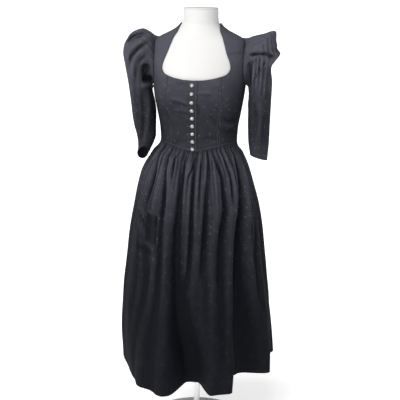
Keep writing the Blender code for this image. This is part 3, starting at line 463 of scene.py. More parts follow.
def coons(bottom, top, left, right):
    """Grid of (angle, z) between four lines: rows go from bottom to top, columns left to right."""
    v = np.linspace(0, 1, len(left))[:, None, None]
    u = np.linspace(0, 1, len(bottom))[None, :, None]
    edges = (1 - u) * left[:, None] + u * right[:, None] + (1 - v) * bottom[None] + v * top[None]
    corners = ((1 - u) * (1 - v) * bottom[0] + u * (1 - v) * bottom[-1]
               + (1 - u) * v * top[0] + u * v * top[-1])
    return edges - corners


def waist_line(start, end, steps):
    angles = np.linspace(start, end, steps + 1)
    return np.stack((angles, waist_height(angles)), -1)


# Meshes
def numbered(grid):
    """The numbers of a grid's points, in its rows and columns."""
    return np.arange(grid.shape[0] * grid.shape[1]).reshape(grid.shape[:2])


def grid_faces(numbers, tube=False):
    rows, columns = numbers.shape
    following = np.roll(numbers, -1, axis=1)
    spans_across = columns if tube else columns - 1
    quads = np.stack((numbers[:-1], numbers[1:], following[1:], following[:-1]), -1)
    return quads[:, :spans_across].reshape(-1, 4)


def closed_faces(rings):
    """Faces of a closed surface through rings, with one flat face over each end."""
    numbers = numbered(rings)
    ends = [numbers[0].tolist(), numbers[-1][::-1].tolist()]
    return grid_faces(numbers, tube=True).tolist() + ends


def make_object(name, points, faces, finish, cut=None, sharp=38.0, wear=None):
    """A mesh object at the origin. `cut` gives each point its place on the flat cloth, and the last
    argument its painted shade and light, from 0 in a fold, painted dark, to 1 on a ridge, painted
    light."""
    mesh = bpy.data.meshes.new(name)
    mesh.from_pydata(points.tolist(), [], faces)
    work = bmesh.new()
    work.from_mesh(mesh)
    if work.calc_volume(signed=True) < 0:
        bmesh.ops.reverse_faces(work, faces=work.faces)
    work.to_mesh(mesh)
    work.free()
    if cut is not None:
        layer = mesh.uv_layers.new(name="cut")
        corners = np.zeros(len(mesh.loops), int)
        mesh.loops.foreach_get("vertex_index", corners)
        layer.data.foreach_set("uv", cut[corners].ravel())
    # Painted shade and light of the cloth: darker in its folds and creases, lighter on its ridges
    if wear is not None:
        brightened = mesh.attributes.new("wear", "FLOAT", "POINT")
        brightened.data.foreach_set("value", wear)
    mesh.shade_smooth()
    mesh.set_sharp_from_angle(angle=math.radians(sharp))
    mesh.materials.append(finish)
    made = bpy.data.objects.new(name, mesh)
    bpy.context.scene.collection.objects.link(made)
    return made


def cloth_wall(name, outside, inside, quads, cut, wear):
    """Thin cloth between two sets of points with the same faces, closed along every free edge."""
    under = len(outside)
    edges = np.concatenate([quads[:, [k, (k + 1) % 4]] for k in range(4)])
    codes = edges[:, 0] * under + edges[:, 1]
    rim = edges[~np.isin(codes, edges[:, 1] * under + edges[:, 0])]
    sides = np.stack((rim[:, 1], rim[:, 0], under + rim[:, 0], under + rim[:, 1]), -1)
    faces = np.concatenate((quads, under + quads[:, ::-1], sides)).tolist()
    return make_object(name, np.concatenate((outside, inside)), faces, cotton(),
                       np.concatenate((cut, cut)), wear=np.concatenate((wear, wear)))


def grid_normals(points, tube=False):
    """Normals of a grid of points, all on the same side of it."""
    if tube:
        across = np.roll(points, -1, axis=1) - np.roll(points, 1, axis=1)
    else:
        across = np.gradient(points, axis=1)
    return unit(np.cross(across, np.gradient(points, axis=0)))


def turned_out(normals, away):
    """The normals or their opposites, whichever agree with the directions away from the middle."""
    return -normals if (away * normals).sum() < 0 else normals


def closed(points, tube):
    """A grid's columns, with the first one again at the end of a tube."""
    return np.concatenate((points, points[:, :1]), axis=1) if tube else points


def flat_places(points, tube=False):
    """Where each point of a grid lies on the flat cloth, in metres."""
    u = running(spans(closed(points, tube), 1).mean(axis=0))[:points.shape[1]]
    v = running(spans(points).mean(axis=1))
    return np.stack(np.broadcast_arrays(u[None, :], v[:, None]), -1)


CREASE_ENDS = (-0.05, 0.22)   # share of its length over which a crease's end fades
UNEVEN_WAVES, UNEVEN_RATE = 7, (34, 34, 22)


def crease_depth(points, creases, facing, shift=(0.0, 0.0)):
    """Metres by which creases drawn in the front view press in the points that face that way."""
    total = np.zeros(points.shape[:-1])
    x, z = points[..., 0] * 1000, points[..., 2] * 1000
    for _, depth, width, path in creases:
        path = np.array(path, float) + shift
        near, place = np.full(x.shape, 1e9), np.zeros(x.shape)
        lengths = spans(path)
        for k, (start, end) in enumerate(zip(path[:-1], path[1:])):
            way = end - start
            t = ((x - start[0]) * way[0] + (z - start[1]) * way[1]) / (way @ way)
            t = np.clip(t, 0, 1)
            away = np.hypot(x - start[0] - t * way[0], z - start[1] - t * way[1])
            run = (lengths[:k].sum() + t * lengths[k]) / lengths.sum()
            place = np.where(away < near, run, place)
            near = np.minimum(near, away)
        taper = ramp(place, *CREASE_ENDS) * ramp(1 - place, *CREASE_ENDS)
        total += depth / 1000 * bump(near, width) * taper * facing
    return total


def unevenness(points, size, seed):
    """Soft hollows and swells of hanging cloth, the same at each run."""
    draw = np.random.default_rng(seed)
    total = np.zeros(points.shape[:-1])
    for _ in range(UNEVEN_WAVES):
        wave = draw.normal(size=3) * UNEVEN_RATE
        total += np.sin(points @ wave + draw.uniform(0, 2 * math.pi))
    return total * size / UNEVEN_WAVES


# Finishes
def feed(tree, socket, value):
    """Links a field to a socket, or puts a number or colour on it."""
    if isinstance(value, Field):
        tree.links.new(value.socket, socket)
    else:
        socket.default_value = value


class Field:
    """A value in a node tree, on which operators add Math nodes."""

    def __init__(self, tree, socket):
        self.tree, self.socket = tree, socket

    def apply(self, operation, *others):
        node = self.tree.nodes.new("ShaderNodeMath")
        node.operation = operation
        for place, value in enumerate((self, *others)):
            feed(self.tree, node.inputs[place], value)
        return Field(self.tree, node.outputs[0])

    def __add__(self, other):
        return self.apply("ADD", other)

    def __sub__(self, other):
        return self.apply("SUBTRACT", other)

    def __mul__(self, other):
        return self.apply("MULTIPLY", other)

    def __truediv__(self, other):
        return self.apply("DIVIDE", other)

    def __rsub__(self, other):
        return self * -1 + other

    __radd__, __rmul__ = __add__, __mul__

    def step(self, low, high):
        """0 below low and 1 above high, or the other way where low is over high."""
        share = ((self - low) / (high - low)).apply("MAXIMUM", 0.0).apply("MINIMUM", 1.0)
        return share * share * (3 - 2 * share)


class Finish:
    """A node-based material with one Principled shader."""

    def __init__(self, name, colour, roughness, metallic=0.0):
        self.material = bpy.data.materials.new(name)
        self.material.use_nodes = True
        self.tree = self.material.node_tree
        self.shader = self.tree.nodes["Principled BSDF"]
        self.set("Base Color", (*colour, 1.0))
        self.set("Roughness", roughness)
        self.set("Metallic", metallic)
        self.material.diffuse_color = (*colour, 1.0)

    def set(self, name, value):
        feed(self.tree, self.shader.inputs[name], value)

    def node(self, kind, settings=None, inputs=None, output=0):
        """Adds a node: its settings first, then the values or links of its sockets."""
        node = self.tree.nodes.new(kind)
        for key, value in (settings or {}).items():
            setattr(node, key, value)
        for key, value in (inputs or {}).items():
            feed(self.tree, node.inputs[key], value)
        return Field(self.tree, node.outputs[output])

    def place(self):
        """Each point's place on the object."""
        return self.node("ShaderNodeTexCoord", output=3)

    def parts(self, vector):
        split = self.node("ShaderNodeSeparateXYZ", inputs={0: vector}).socket.node
        return [Field(self.tree, output) for output in split.outputs]

    def noise(self, where, scale, detail):
        return self.node("ShaderNodeTexNoise", None, {
            "Vector": where, "Scale": scale, "Detail": detail, "Roughness": 0.55})

    def blend(self, share, *colours):
        """Mixes two colours by a field."""
        first, second = (colour if isinstance(colour, Field) else (*colour, 1.0)
                         for colour in colours)
        return self.node("ShaderNodeMix", {"data_type": "RGBA"},
                         {0: share, 6: first, 7: second}, 2)

    def relief(self, height, strength, distance):
        """Gives the surface a fine relief."""
        self.set("Normal", self.node("ShaderNodeBump", None, {
            "Height": height, "Strength": strength, "Distance": distance}))


# Dots of one sprig, in shares of its half width: x, y, radius
SPRIG_DOTS = (
    (0.0, 0.75, 0.24), (0.34, 0.62, 0.17), (-0.34, 0.66, 0.17), (0.16, 0.98, 0.15),
    (-0.18, 1.0, 0.15), (0.0, 0.40, 0.12), (0.04, 0.14, 0.12), (0.12, -0.12, 0.12),
    (0.24, -0.38, 0.12), (0.42, -0.60, 0.14), (-0.28, 0.06, 0.15), (-0.52, -0.08, 0.17),
    (0.52, 0.10, 0.15), (0.74, 0.24, 0.14),
)
DOT_EDGE = (1.6, 0.5)         # squares of the radii between which a dot fades, in shares
SPRIG_TURNS = (2.4, 1.7, 2.6)   # how a sprig's turn varies by column and row, and how far
SPECKS_ACROSS = 150.0         # specks in a metre
PRINT_HEIGHTS = (0.50, 0.92)  # the print comes out of the dark between these heights
WEAVE_RATE = 2 * math.pi / 0.0011
# Heights between which painted light makes the cotton lighter towards the top, and by how much; a
# negative share paints it darker there
PAINTED_LIGHT_HEIGHTS = ((0.42, 0.84, 0.12), (0.76, 0.99, 0.26), (1.02, 1.10, -0.12), (1.14, 1.38, 0.72))

def sprig_print(across, down):
    """Mask of the tonal print: staggered sprigs, each a curved stem of small dots with a flower."""
    spacing, half = sizes().motif_spacing, sizes().motif_size / 2
    by_column, by_row, most = SPRIG_TURNS
    row = (down / spacing).apply("FLOOR")
    shifted = across / spacing + row * 0.5
    column = shifted.apply("FLOOR")
    x = (shifted - column - 0.5) * spacing / half
    y = (down / spacing - row - 0.5) * spacing / half
    turned = (column * by_column + row * by_row).apply("SINE") * most
    cosine, sine = turned.apply("COSINE"), turned.apply("SINE")
    x, y = x * cosine - y * sine, x * sine + y * cosine
    mask = None
    for place_x, place_y, size in SPRIG_DOTS:
        away_x, away_y = x - place_x, y - place_y
        edge = [size * size * share for share in DOT_EDGE]
        dot = (away_x * away_x + away_y * away_y).step(*edge)
        mask = dot if mask is None else mask.apply("MAXIMUM", dot)
    return mask


def cotton_finish():
    """Very dark printed cotton: fine weave, tonal sprigs, specks, painted light on the upper part
    and on ridges, and painted shade in the folds.
    """
    palette = colours()
    finish = Finish("cotton_print", palette.cotton, 0.82)
    finish.set("Specular IOR Level", 0.05)
    cut = finish.node("ShaderNodeUVMap", {"uv_map": "cut"})
    # Painted shade and light from the folds: 0 in a fold, 1 on a ridge
    brightened = finish.node("ShaderNodeAttribute", {"attribute_name": "wear"}, output=2)
    place = finish.place()
    across, down, _ = finish.parts(cut)
    height = finish.parts(place)[2]
    mottle, patches = finish.noise(place, 26.0, 3.0), finish.noise(cut, 42.0, 1.0)
    specks = finish.node("ShaderNodeTexVoronoi", {"feature": "F1"},
                         {"Vector": cut, "Scale": SPECKS_ACROSS, "Randomness": 1.0})
    specks = specks.step(0.26, 0.16) * patches.step(0.50, 0.60) * mottle.step(0.44, 0.56)
    sprigs = sprig_print(across, down) * patches.step(0.36, 0.60)
    # Painted shade: the print is made fainter towards the bottom and in the folds
    shown = (height.step(*PRINT_HEIGHTS) * 0.85 + 0.15) * (brightened + 0.4)
    print_share = (sprigs * 0.32 + specks * 0.7) * shown
    # Painted light: lighter towards the top and on ridges, darker in folds, with a random mottle
    lit_cotton = 0.0
    for low, high, share in PAINTED_LIGHT_HEIGHTS:
        lit_cotton = height.step(low, high) * share + lit_cotton
    uneven = (mottle - 0.5) * (lit_cotton + 0.1) * 0.5
    lit_cotton = (lit_cotton + uneven) * (brightened * 1.5 + 0.25) + (brightened - 0.5) * 0.07
    ground = finish.blend(lit_cotton.apply("MAXIMUM", 0.0), palette.cotton, palette.lit_cotton)
    finish.set("Base Color", finish.blend(print_share, ground, palette.print_light))
    finish.set("Roughness", 0.88 - print_share * 0.12)
    weave = (across * WEAVE_RATE).apply("SINE") * (down * WEAVE_RATE).apply("SINE")
    finish.relief(weave * 0.25 + mottle * 0.5 + print_share * 0.3, 0.3, 0.0006)
    return finish.material


def jersey_finish():
    """White stretch cover of the form, with a very fine knit."""
    finish = Finish("form_jersey", colours().jersey, 0.62)
    finish.set("Sheen Weight", 0.15)
    finish.relief(finish.noise(finish.place(), 900.0, 1.0), 0.12, 0.0004)
    return finish.material


def pewter_finish():
    """Cast pewter, darker and rougher in random patches."""
    palette = colours()
    finish = Finish("pewter_cast", palette.pewter, 0.34, 0.9)
    wear = finish.noise(finish.place(), 420.0, 2.0)
    dull = [value * 0.45 for value in palette.pewter]
    finish.set("Base Color", finish.blend(wear.step(0.36, 0.60), dull, palette.pewter))
    finish.set("Roughness", 0.50 - wear * 0.28)
    return finish.material


def plain(name, colour, roughness, metallic=0.0):
    """A finish of one colour, made once."""
    return bpy.data.materials.get(name) or Finish(name, colour, roughness, metallic).material


def once(name, make):
    return bpy.data.materials.get(name) or make()


def cotton():
    return once("cotton_print", cotton_finish)


def settle(piece, slot, *nodes):
    """Lets a finished piece stand for its solids and ride on the part's one body."""
    if nodes:
        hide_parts(*nodes)
    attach(piece, "root")


def cloth_piece(name, outer, inner, wear, held, rests_on, cut=None, tube=False):
    """One piece of the dress from the grids of its two sides."""
    cut = flat_places(outer, tube) if cut is None else cut
    piece = cloth_wall(name + "_cloth", outer.reshape(-1, 3), inner.reshape(-1, 3),
                       grid_faces(numbered(outer), tube), cut.reshape(-1, 2), wear.ravel())
    settle(piece, "cotton", name)


# The bodice
FINE = 4                      # rows here for one of the solids
LOW_ROWS, HIGH_ROWS, BACK_HIGH_ROWS, NECK_ROW = 11 * FINE, 10 * FINE, 9 * FINE, 12 * FINE
SIDE_COLUMNS, BACK_COLUMNS, CENTRE_COLUMNS = 30, 36, 40
TO_SHOULDER = 1.45            # how much the rows crowd towards the shoulder
BACK_SEAMS = ((0, 1), (-1, 0))
LAP_ANGLE, LAP_BLEND = 13.0, 4.0
SEAM_GROOVE, GROOVE_WIDTH, GROOVE_SHADE = 0.0008, 0.0030, 0.3
BODICE_TURN = 0.35            # how far cloth turns away while a crease on it fades
BODICE_BACK_SHIFT = (8.0, 14.0)
RIDGE_LIMIT, CREASE_LIMIT = -0.004, 0.0011
BODICE_UNEVEN, BODICE_SEED, BODICE_RISE = 0.0004, 5, 0.0003
# Painted shade: the crease depth that paints the cloth fully dark, and how much darker the sides
# under the arms are painted
BODICE_SHADE_DEPTH, UNDER_ARM = 0.004, 0.42
ARM_ANGLE, ARM_WIDTH, ARM_TOP, ARM_BLEND = 88.0, 32.0, 1.33, 0.08


def overlap_lift(angle):
    """The upper front rises over the lower one near the centre. The angle is the mirrored one."""
    return (CLOTH + SEAM) * ramp(LAP_ANGLE - angle, 0.0, LAP_BLEND)


def bodice_points(grid, mirror, lift, seams):
    """Outer and inner points of a bodice piece, with its creases and its seams' grooves."""
    angle, z = grid[..., 0], grid[..., 1]
    outside = on_body(angle, z, EASE + CLOTH + lift)
    normals = body_normal(angle, z)
    side = (-1 if mirror else 1, 1, 1)
    placed = outside * side
    facing, behind = (ramp(way * normals[..., 1], 0.0, BODICE_TURN) for way in (-1, 1))
    press = crease_depth(placed, BODICE_CREASES, facing)
    press += crease_depth(placed * (-1, 1, 1), BODICE_CREASES, behind, BODICE_BACK_SHIFT)
    press = np.clip(press, RIDGE_LIMIT, CREASE_LIMIT)
    press = press + unevenness(placed, BODICE_UNEVEN, BODICE_SEED) - BODICE_RISE
    groove = np.zeros(angle.shape)
    for edge, axis in seams:
        away = np.take(outside, [edge], axis=axis) - outside
        groove = np.maximum(groove, bump(np.linalg.norm(away, axis=-1), GROOVE_WIDTH))
    outer = outside - (press + SEAM_GROOVE * groove)[..., None] * normals
    inner = outside - (press + sizes().cloth_thickness)[..., None] * normals
    shaded = UNDER_ARM * bump(angle - ARM_ANGLE, ARM_WIDTH) * ramp(ARM_TOP - z, 0.0, ARM_BLEND)
    # Painted shade in creases, seam grooves and at the sides under the arms; painted light on
    # ridges
    wear = np.clip(0.5 - press / BODICE_SHADE_DEPTH - GROOVE_SHADE * groove - shaded, 0, 1)
    return outer * side, inner * side, wear


def front_grid(start):
    """Centre front from the princess seam to the angle `start` past the centre."""
    share = np.linspace(0, 1, CENTRE_COLUMNS + 1)
    foot, head = PRINCESS_FRONT[0][0], PRINCESS_FRONT[-1][0]
    tops = head - share * (head - start)
    bottoms = foot - share * (foot - start)
    neck = np.array(NECKLINE_BOTTOM, float)
    top_z = np.interp(np.abs(tops), neck[:, 0], neck[:, 1] / 1000)
    bottom_z = waist_height(bottoms)
    left = stretch(Line(PRINCESS_FRONT), LOW_ROWS)
    left[0] = bottoms[0], bottom_z[0]
    v = ((left[:, 1] - bottom_z[0]) / (top_z[0] - bottom_z[0]))[:, None]
    angle = left[:, :1] + (start - left[:, :1]) * share[None]
    return np.stack((angle, bottom_z + (top_z - bottom_z) * v), -1)


def side_front_grid():
    waist = waist_line(PRINCESS_FRONT[0][0], SIDE_SEAM[0][0], SIDE_COLUMNS)
    left, right = (np.concatenate((stretch(Line(seam), LOW_ROWS),
                                   stretch(Line(edge), HIGH_ROWS, crowd=TO_SHOULDER)[1:]))
                   for seam, edge in ((PRINCESS_FRONT, NECKLINE_SIDE), (SIDE_SEAM, ARMHOLE_FRONT)))
    left[0], right[0] = waist[0], waist[-1]
    return coons(waist, stretch(Line(SHOULDER), SIDE_COLUMNS, 1.0, 0.0), left, right)


def side_back_grid():
    waist = waist_line(SIDE_SEAM[0][0], SEAM_BACK[0][0], SIDE_COLUMNS)
    left, right = stretch(Line(SIDE_SEAM), LOW_ROWS), stretch(Line(SEAM_BACK), LOW_ROWS)
    left[0], right[0] = waist[0], waist[-1]
    return coons(waist, stretch(Line(ARMHOLE_BACK_LOW), SIDE_COLUMNS), left, right)


def back_grid():
    waist = waist_line(SEAM_BACK[0][0], 180, BACK_COLUMNS)
    edge = stretch(Line(ARMHOLE_BACK_HIGH), BACK_HIGH_ROWS, crowd=TO_SHOULDER)[1:]
    left = np.concatenate((stretch(Line(SEAM_BACK), LOW_ROWS), edge))
    left[0] = waist[0]
    heights = np.linspace(waist[-1][1], NECKLINE_BACK[0][1] / 1000, NECK_ROW + 1)
    centre = np.stack((np.full(NECK_ROW + 1, 180.0), heights), -1)
    neck = stretch(Line(NECKLINE_BACK), len(left) - len(centre), crowd=TO_SHOULDER)[1:]
    return coons(waist, stretch(Line(SHOULDER), BACK_COLUMNS), left, np.concatenate((centre, neck)))


def bodice_parts():
    """Name, grid, mirror, lift and grooved seams of each piece of the bodice but the back."""
    right, left = front_grid(-LAP_EDGE), front_grid(LAP_UNDER)
    side_front, side_back = side_front_grid(), side_back_grid()
    parts = [("bodice_front_right", right, True, overlap_lift(right[..., 0]), ((0, 1),)),
             ("bodice_front_left", left, False, 0.0, ((0, 1),))]
    for mirror, hand in ((True, "right"), (False, "left")):
        parts.append(("bodice_side_front_" + hand, side_front, mirror, 0.0,
                      ((0, 1), (-1, 1), (-1, 0))))
        parts.append(("bodice_side_back_" + hand, side_back, mirror, 0.0, ((0, 1), (-1, 1))))
    return parts


def back_piece():
    """The back, cut in one: two mirrored halves that share their middle up to the neckline."""
    outer, inner, wear = bodice_points(back_grid(), False, 0.0, BACK_SEAMS)
    outer[:NECK_ROW + 1, -1, 0] = inner[:NECK_ROW + 1, -1, 0] = 0.0
    numbers = numbered(outer)
    other = numbers + numbers.size
    other[:NECK_ROW + 1, -1] = numbers[:NECK_ROW + 1, -1]
    used = np.unique(np.concatenate((numbers.ravel(), other.ravel())))
    sheets = [np.concatenate((p.reshape(-1, 3), p.reshape(-1, 3) * (-1, 1, 1)))[used]
              for p in (outer, inner)]
    cut = flat_places(outer).reshape(-1, 2)
    middle = cut[:, 0].max()
    cut = np.concatenate((cut, np.stack((2 * middle - cut[:, 0], cut[:, 1]), -1)))[used]
    quads = np.concatenate((grid_faces(numbers), grid_faces(other[:, ::-1])))
    wear = np.concatenate((wear.ravel(), wear.ravel()))[used]
    piece = cloth_wall("bodice_back_cloth", *sheets, np.searchsorted(used, quads), cut, wear)
    settle(piece, "cotton", "bodice_back")


# The skirt
SKIRT_COLUMNS, ROW_SAMPLES = 330, 2400
SKIRT_DROPS, SKIRT_LOWER_ROWS = 44, 62   # rows of the gathered band, and of the skirt below it
BAND_DROP, BAND_CROWD = 0.092, 1.3       # the band's height, and how its rows crowd at the waist
GATHER_BAND = 0.16        # how far down the waist's dip is still felt
WAIST_BLEND = 0.034       # drop over which the skirt leaves the bodice's lower edge
FOLD_START = 0.02         # drop over which the folds begin
STEEP_FROM, STEEP_SPAN, STEEPEST = 30, 20.0, 4.5   # depths in mm at which folds get steep walls
FOLD_RUN_OUT = 40         # mm over its highest row in which a fold is still felt
FINE_RISE, SMALL_RISE = 0.0013, 0.0009
SIDE_GAP = 0.00002
GATHER_ROUNDNESS = 0.62   # under 1 the valleys between the gathers get sharp
GATHER_SEED, GATHER_LEAN, LEAN_DROP = 11, 1.3, 0.10
GATHER_LENGTHS, GATHER_HEIGHTS, GATHER_FADE = (0.05, 0.26), (0.55, 1.25), 0.04
# Painted shade in folds and painted light on ridges, from each point's reach against its row
SHADE_WINDOWS = ((9, 0.0045), (27, 0.014))   # columns to each side, and a ridge's height there
SKIRT_TURN, SKIRT_UNEVEN, SKIRT_SEED = 0.35, 0.0012, 9


def fold_depth(angle, z, folds):
    """Metres by which the folds draw the skirt in at these angles, at one height."""
    total = np.zeros(angle.shape)
    for rows in folds.values():
        heights = [row[0] for row in rows]
        if not min(heights) - 1 <= z * 1000 <= max(heights) + FOLD_RUN_OUT:
            continue
        at, *widths, depth = (float(value) for value in table_at(rows, z))
        away = (angle - at + 180) % 360 - 180
        width = np.where(away < 0, widths[0], widths[-1])
        steep = 2 + min(STEEPEST, max(0.0, (depth - STEEP_FROM) / STEEP_SPAN))
        total += depth / 1000 * np.exp(-np.abs(away / width) ** steep)
    return total


def gather_wave(angle, drop):
    """Height of the waist gathers. Each has its own height, lean and length."""
    pitch = 360 / GATHERS
    total = np.zeros(angle.shape)
    draw = np.random.default_rng(GATHER_SEED)
    lean = draw.normal(0, GATHER_LEAN, GATHERS)
    length = draw.uniform(*GATHER_LENGTHS, GATHERS)
    height = draw.uniform(*GATHER_HEIGHTS, GATHERS)
    for k in range(GATHERS):
        number = 2 * k + 1
        uneven = 0.72 + 0.28 * math.sin(number * 2.4) * math.cos(number * 0.9)
        centre = -90 + pitch * (k + 0.5) + lean[k] * ramp(drop, 0.0, LEAN_DROP)
        away = np.abs((angle - centre + 180) % 360 - 180) / (pitch / 2)
        shape = np.cos(np.clip(away, 0, 1) * math.pi / 2) ** GATHER_ROUNDNESS
        fade = 1 - ramp(drop, 0.25 * length[k], length[k] + GATHER_FADE)
        total += shape * uneven * height[k] * fade
    opening = 0.45 + 0.55 * ramp(drop, 0.0, 0.015)
    return (total - 0.35) * sizes().gather_rise * opening + fine_wave(np.radians(angle), drop)


def fine_wave(turn, drop):
    """Small gathers right below the waist, and soft waves that run on down the skirt."""
    small = np.sin(turn * 131 + 0.6 * np.sin(turn * 17)) * SMALL_RISE
    small = small * (1 - ramp(drop, 0.004, 0.06))
    fine = (np.sin(turn * 61 + 2.2 * np.sin(turn * 7 + drop * 3))
            * (0.55 + 0.45 * np.sin(turn * 5 + 1.0 + drop * 2.0)))
    return small + fine * FINE_RISE * ramp(drop, 0.02, 0.12) * (1 - 0.45 * ramp(drop, 0.25, 0.7))


def skirt_row(angle, level):
    """Points of one row of the skirt at these angles. Level runs from 0 at the waist."""
    waist = waist_height(angle)
    dip = waist - WAIST_SIDE
    if level <= SKIRT_DROPS:
        down = BAND_DROP * (level / SKIRT_DROPS) ** BAND_CROWD
        z = (WAIST_SIDE - SEAM - down) + dip * (1 - down / GATHER_BAND)
    else:
        blend = (level - SKIRT_DROPS) / SKIRT_LOWER_ROWS
        top = WAIST_SIDE - SEAM - BAND_DROP
        held = dip * (1 - BAND_DROP / GATHER_BAND)
        z = top + held * (1 - blend) ** 3 + (HEM_HEIGHT - top) * blend
    right, left, front, back = (value / 1000 for value in table_at(BELL_RINGS, z))
    turn = np.radians(angle)
    width = np.where(np.sin(turn) > 0, left, right)
    depth = np.where(np.cos(turn) > 0, front, back)
    drop = waist - SEAM - z
    seam = on_body(angle, waist - SEAM, EASE + CLOTH)
    away = ramp(drop, 0.0, WAIST_BLEND)
    x = away * width * np.sin(turn) + (1 - away) * seam[:, 0]
    y = (1 - away) * seam[:, 1] - away * depth * np.cos(turn)
    radius = np.hypot(x, y)
    middle = float(z.mean())
    press = fold_depth(angle, middle, LARGE_FOLDS) + fold_depth(angle, middle, FINE_FOLDS)
    out = gather_wave(angle, float(drop.mean())) - press * np.minimum(1.0, drop / FOLD_START)
    grow = (radius + out) / radius
    return np.stack((x * grow, y * grow, z), -1)


def painted_fold_shade(reach):
    """Painted shade and light: 0 in the folds and 1 on the ridges, by each point's reach against
    that of its row nearby.
    """
    wear = np.full(reach.shape, 0.5)
    for width, height in SHADE_WINDOWS:
        near = np.pad(reach, ((0, 0), (width, width)), mode="edge")
        window = np.ones(2 * width + 1) / (2 * width + 1)
        near = np.apply_along_axis(np.convolve, 1, near, window, "valid")
        wear += 0.5 * np.clip((reach - near) / height, -1, 1)
    return np.clip(wear, 0, 1)


def skirt_half(name, first):
    """Half of the skirt: in each row the columns are spread evenly along the cloth."""
    dense = np.linspace(first, first + 180, ROW_SAMPLES)
    rows = []
    for level in range(SKIRT_DROPS + SKIRT_LOWER_ROWS + 1):
        curve = skirt_row((dense + 180) % 360 - 180, level)
        run = running(spans(curve))
        even = np.linspace(0, run[-1], SKIRT_COLUMNS + 1)
        rows.append(np.stack([np.interp(even, run, curve[:, k]) for k in range(3)], -1))
    outer = np.array(rows)
    normals = turned_out(grid_normals(outer), outer * (1, 1, 0))
    normals[:, (0, -1), 1] = 0.0
    normals = unit(normals)
    facing = ramp(-normals[..., 1], 0.0, SKIRT_TURN)
    storage = crease_depth(outer, STORAGE_CREASES, facing) + pressed_patch(outer) * facing
    hanging = ramp(WAIST_SIDE - outer[..., 2], 0.02, 0.2)
    press = storage + unevenness(outer, SKIRT_UNEVEN, SKIRT_SEED) * hanging
    outer = outer - press[..., None] * normals
    inner = outer - sizes().cloth_thickness * normals
    # Painted shade in folds and in pressed hollows, painted light on ridges
    wear = painted_fold_shade(np.hypot(outer[..., 0], outer[..., 1]))
    wear = np.clip(wear - np.clip(storage / PRESS_SHADE_DEPTH, -0.6, 0.5), 0, 1)
    for points in (outer, inner):
        points[:, 0, 1] = points[:, -1, 1] = SIDE_GAP if first > 0 else -SIDE_GAP
    across = np.linspace(0, spans(outer[-1]).sum(), SKIRT_COLUMNS + 1)
    down = running(spans(outer).mean(axis=1))
    cut = np.stack(np.broadcast_arrays(across[None, :], down[:, None]), -1)
    cloth_piece(name, outer, inner, wear, "gathered", ["bodice_front_left", "bodice_back"], cut)


# Creases that folding for storage left on the front of the skirt: (x, z) in millimetres
STORAGE_CREASES = (
    ("pressed_top_ridge", -2.6, 4, ((-152, 834), (-128, 836), (-104, 834))),
    ("pressed_left_swell", -2.4, 9, ((-194, 842), (-170, 836), (-158, 822))),
    ("pressed_diagonal", 3.0, 4, ((-192, 826), (-172, 806), (-158, 786))),
    ("pressed_tongue", -2.6, 8, ((-188, 792), (-170, 770), (-150, 748), (-118, 726))),
    ("pressed_low", -3.4, 5, ((-196, 736), (-160, 734), (-118, 722))),
    ("pressed_low_hollow", 3.4, 9, ((-196, 714), (-160, 708), (-118, 704))),
)
PRESSED_PATCH = (-152, -105, 738, 828)  # its sides, in the same way
PRESSED_DEPTH, PRESSED_EDGE = 0.0045, 5.0
# The pressing depth by which storage creases paint the cloth darker in hollows and lighter on
# ridges
PRESS_SHADE_DEPTH = 0.0065


def pressed_patch(points):
    """The flat square between the storage creases lies a little deeper than the cloth round it."""
    x, z = points[..., 0] * 1000, points[..., 2] * 1000
    left, right, low, high = PRESSED_PATCH
    edge = PRESSED_EDGE
    across = ramp(x, left - edge, left + 2 * edge) * ramp(right - x, 0, edge)
    return PRESSED_DEPTH * (across * ramp(z, low - edge, low + edge) * ramp(high - z, 0, edge))


# The sleeves
SLEEVE_SIDES = 180
SLEEVE_STEPS, HEAD_ROWS = 9, 7   # rows between two rings of the table, and above the first ring
ARMHOLE_GAP = 4 * SEAM
HEAD_BLEND, HEAD_SWELL = 8, 0.0035
# The last of these is the crease depth that paints the sleeve fully dark, as painted shade
SLEEVE_TURN, SLEEVE_START, SLEEVE_SHADE_DEPTH = 0.4, 0.06, 0.011
SLEEVE_LIMITS = (-0.007, 0.016)  # the highest ridge and the deepest hollow
SLEEVE_UNEVEN = 0.0012
# A sleeve's rings, tilts, creases and seed, and whether it is mirrored
SLEEVES = {"right": (SLEEVE_RIGHT, TILT_RIGHT, SLEEVE_RIGHT_CREASES, 17, True),
           "left": (SLEEVE_LEFT, TILT_LEFT, SLEEVE_LEFT_CREASES, 23, False)}


def armhole_ring(turns, out):
    """The armhole as a closed ring, read at the turns of the sleeve, starting at the shoulder."""
    front = Line(ARMHOLE_FRONT[::-1])
    back = Line(ARMHOLE_BACK_HIGH[::-1], ARMHOLE_BACK_LOW[::-1])
    share = np.abs(turns) / 180
    places = np.where((turns >= 0)[:, None], front.at(share), back.at(share))
    return on_body(places[:, 0], places[:, 1], out)


def sleeve_ring(row, turns, tilt):
    outer_x, outer_z, inner_x, inner_z, half_depth, middle_y, rise, level = row
    outer = np.array([outer_x, middle_y, outer_z]) / 1000
    inner = np.array([inner_x, middle_y, inner_z]) / 1000
    middle, reach = (outer + inner) / 2, (outer - inner) / 2
    length = np.linalg.norm(reach)
    c, s = np.cos(np.radians(turns)), np.sin(np.radians(turns))
    head = 1 - ramp(np.abs(turns), SLEEVE_TOP_ARC / 2 - HEAD_BLEND, SLEEVE_TOP_ARC / 2)
    wave = -np.cos(turns / (SLEEVE_TOP_ARC / SLEEVE_GATHERS / 2) * math.pi)
    swell = rise * HEAD_SWELL * head * wave
    drop = ((1 - c) / 2) ** level - (1 - c) / 2
    points = middle + ((length + swell) * c)[:, None] * (reach / length)
    points[:, 1] -= (half_depth / 1000 + swell) * s
    points[:, 2] += (inner[2] - outer[2]) * drop + tilt / 1000 * s
    return points


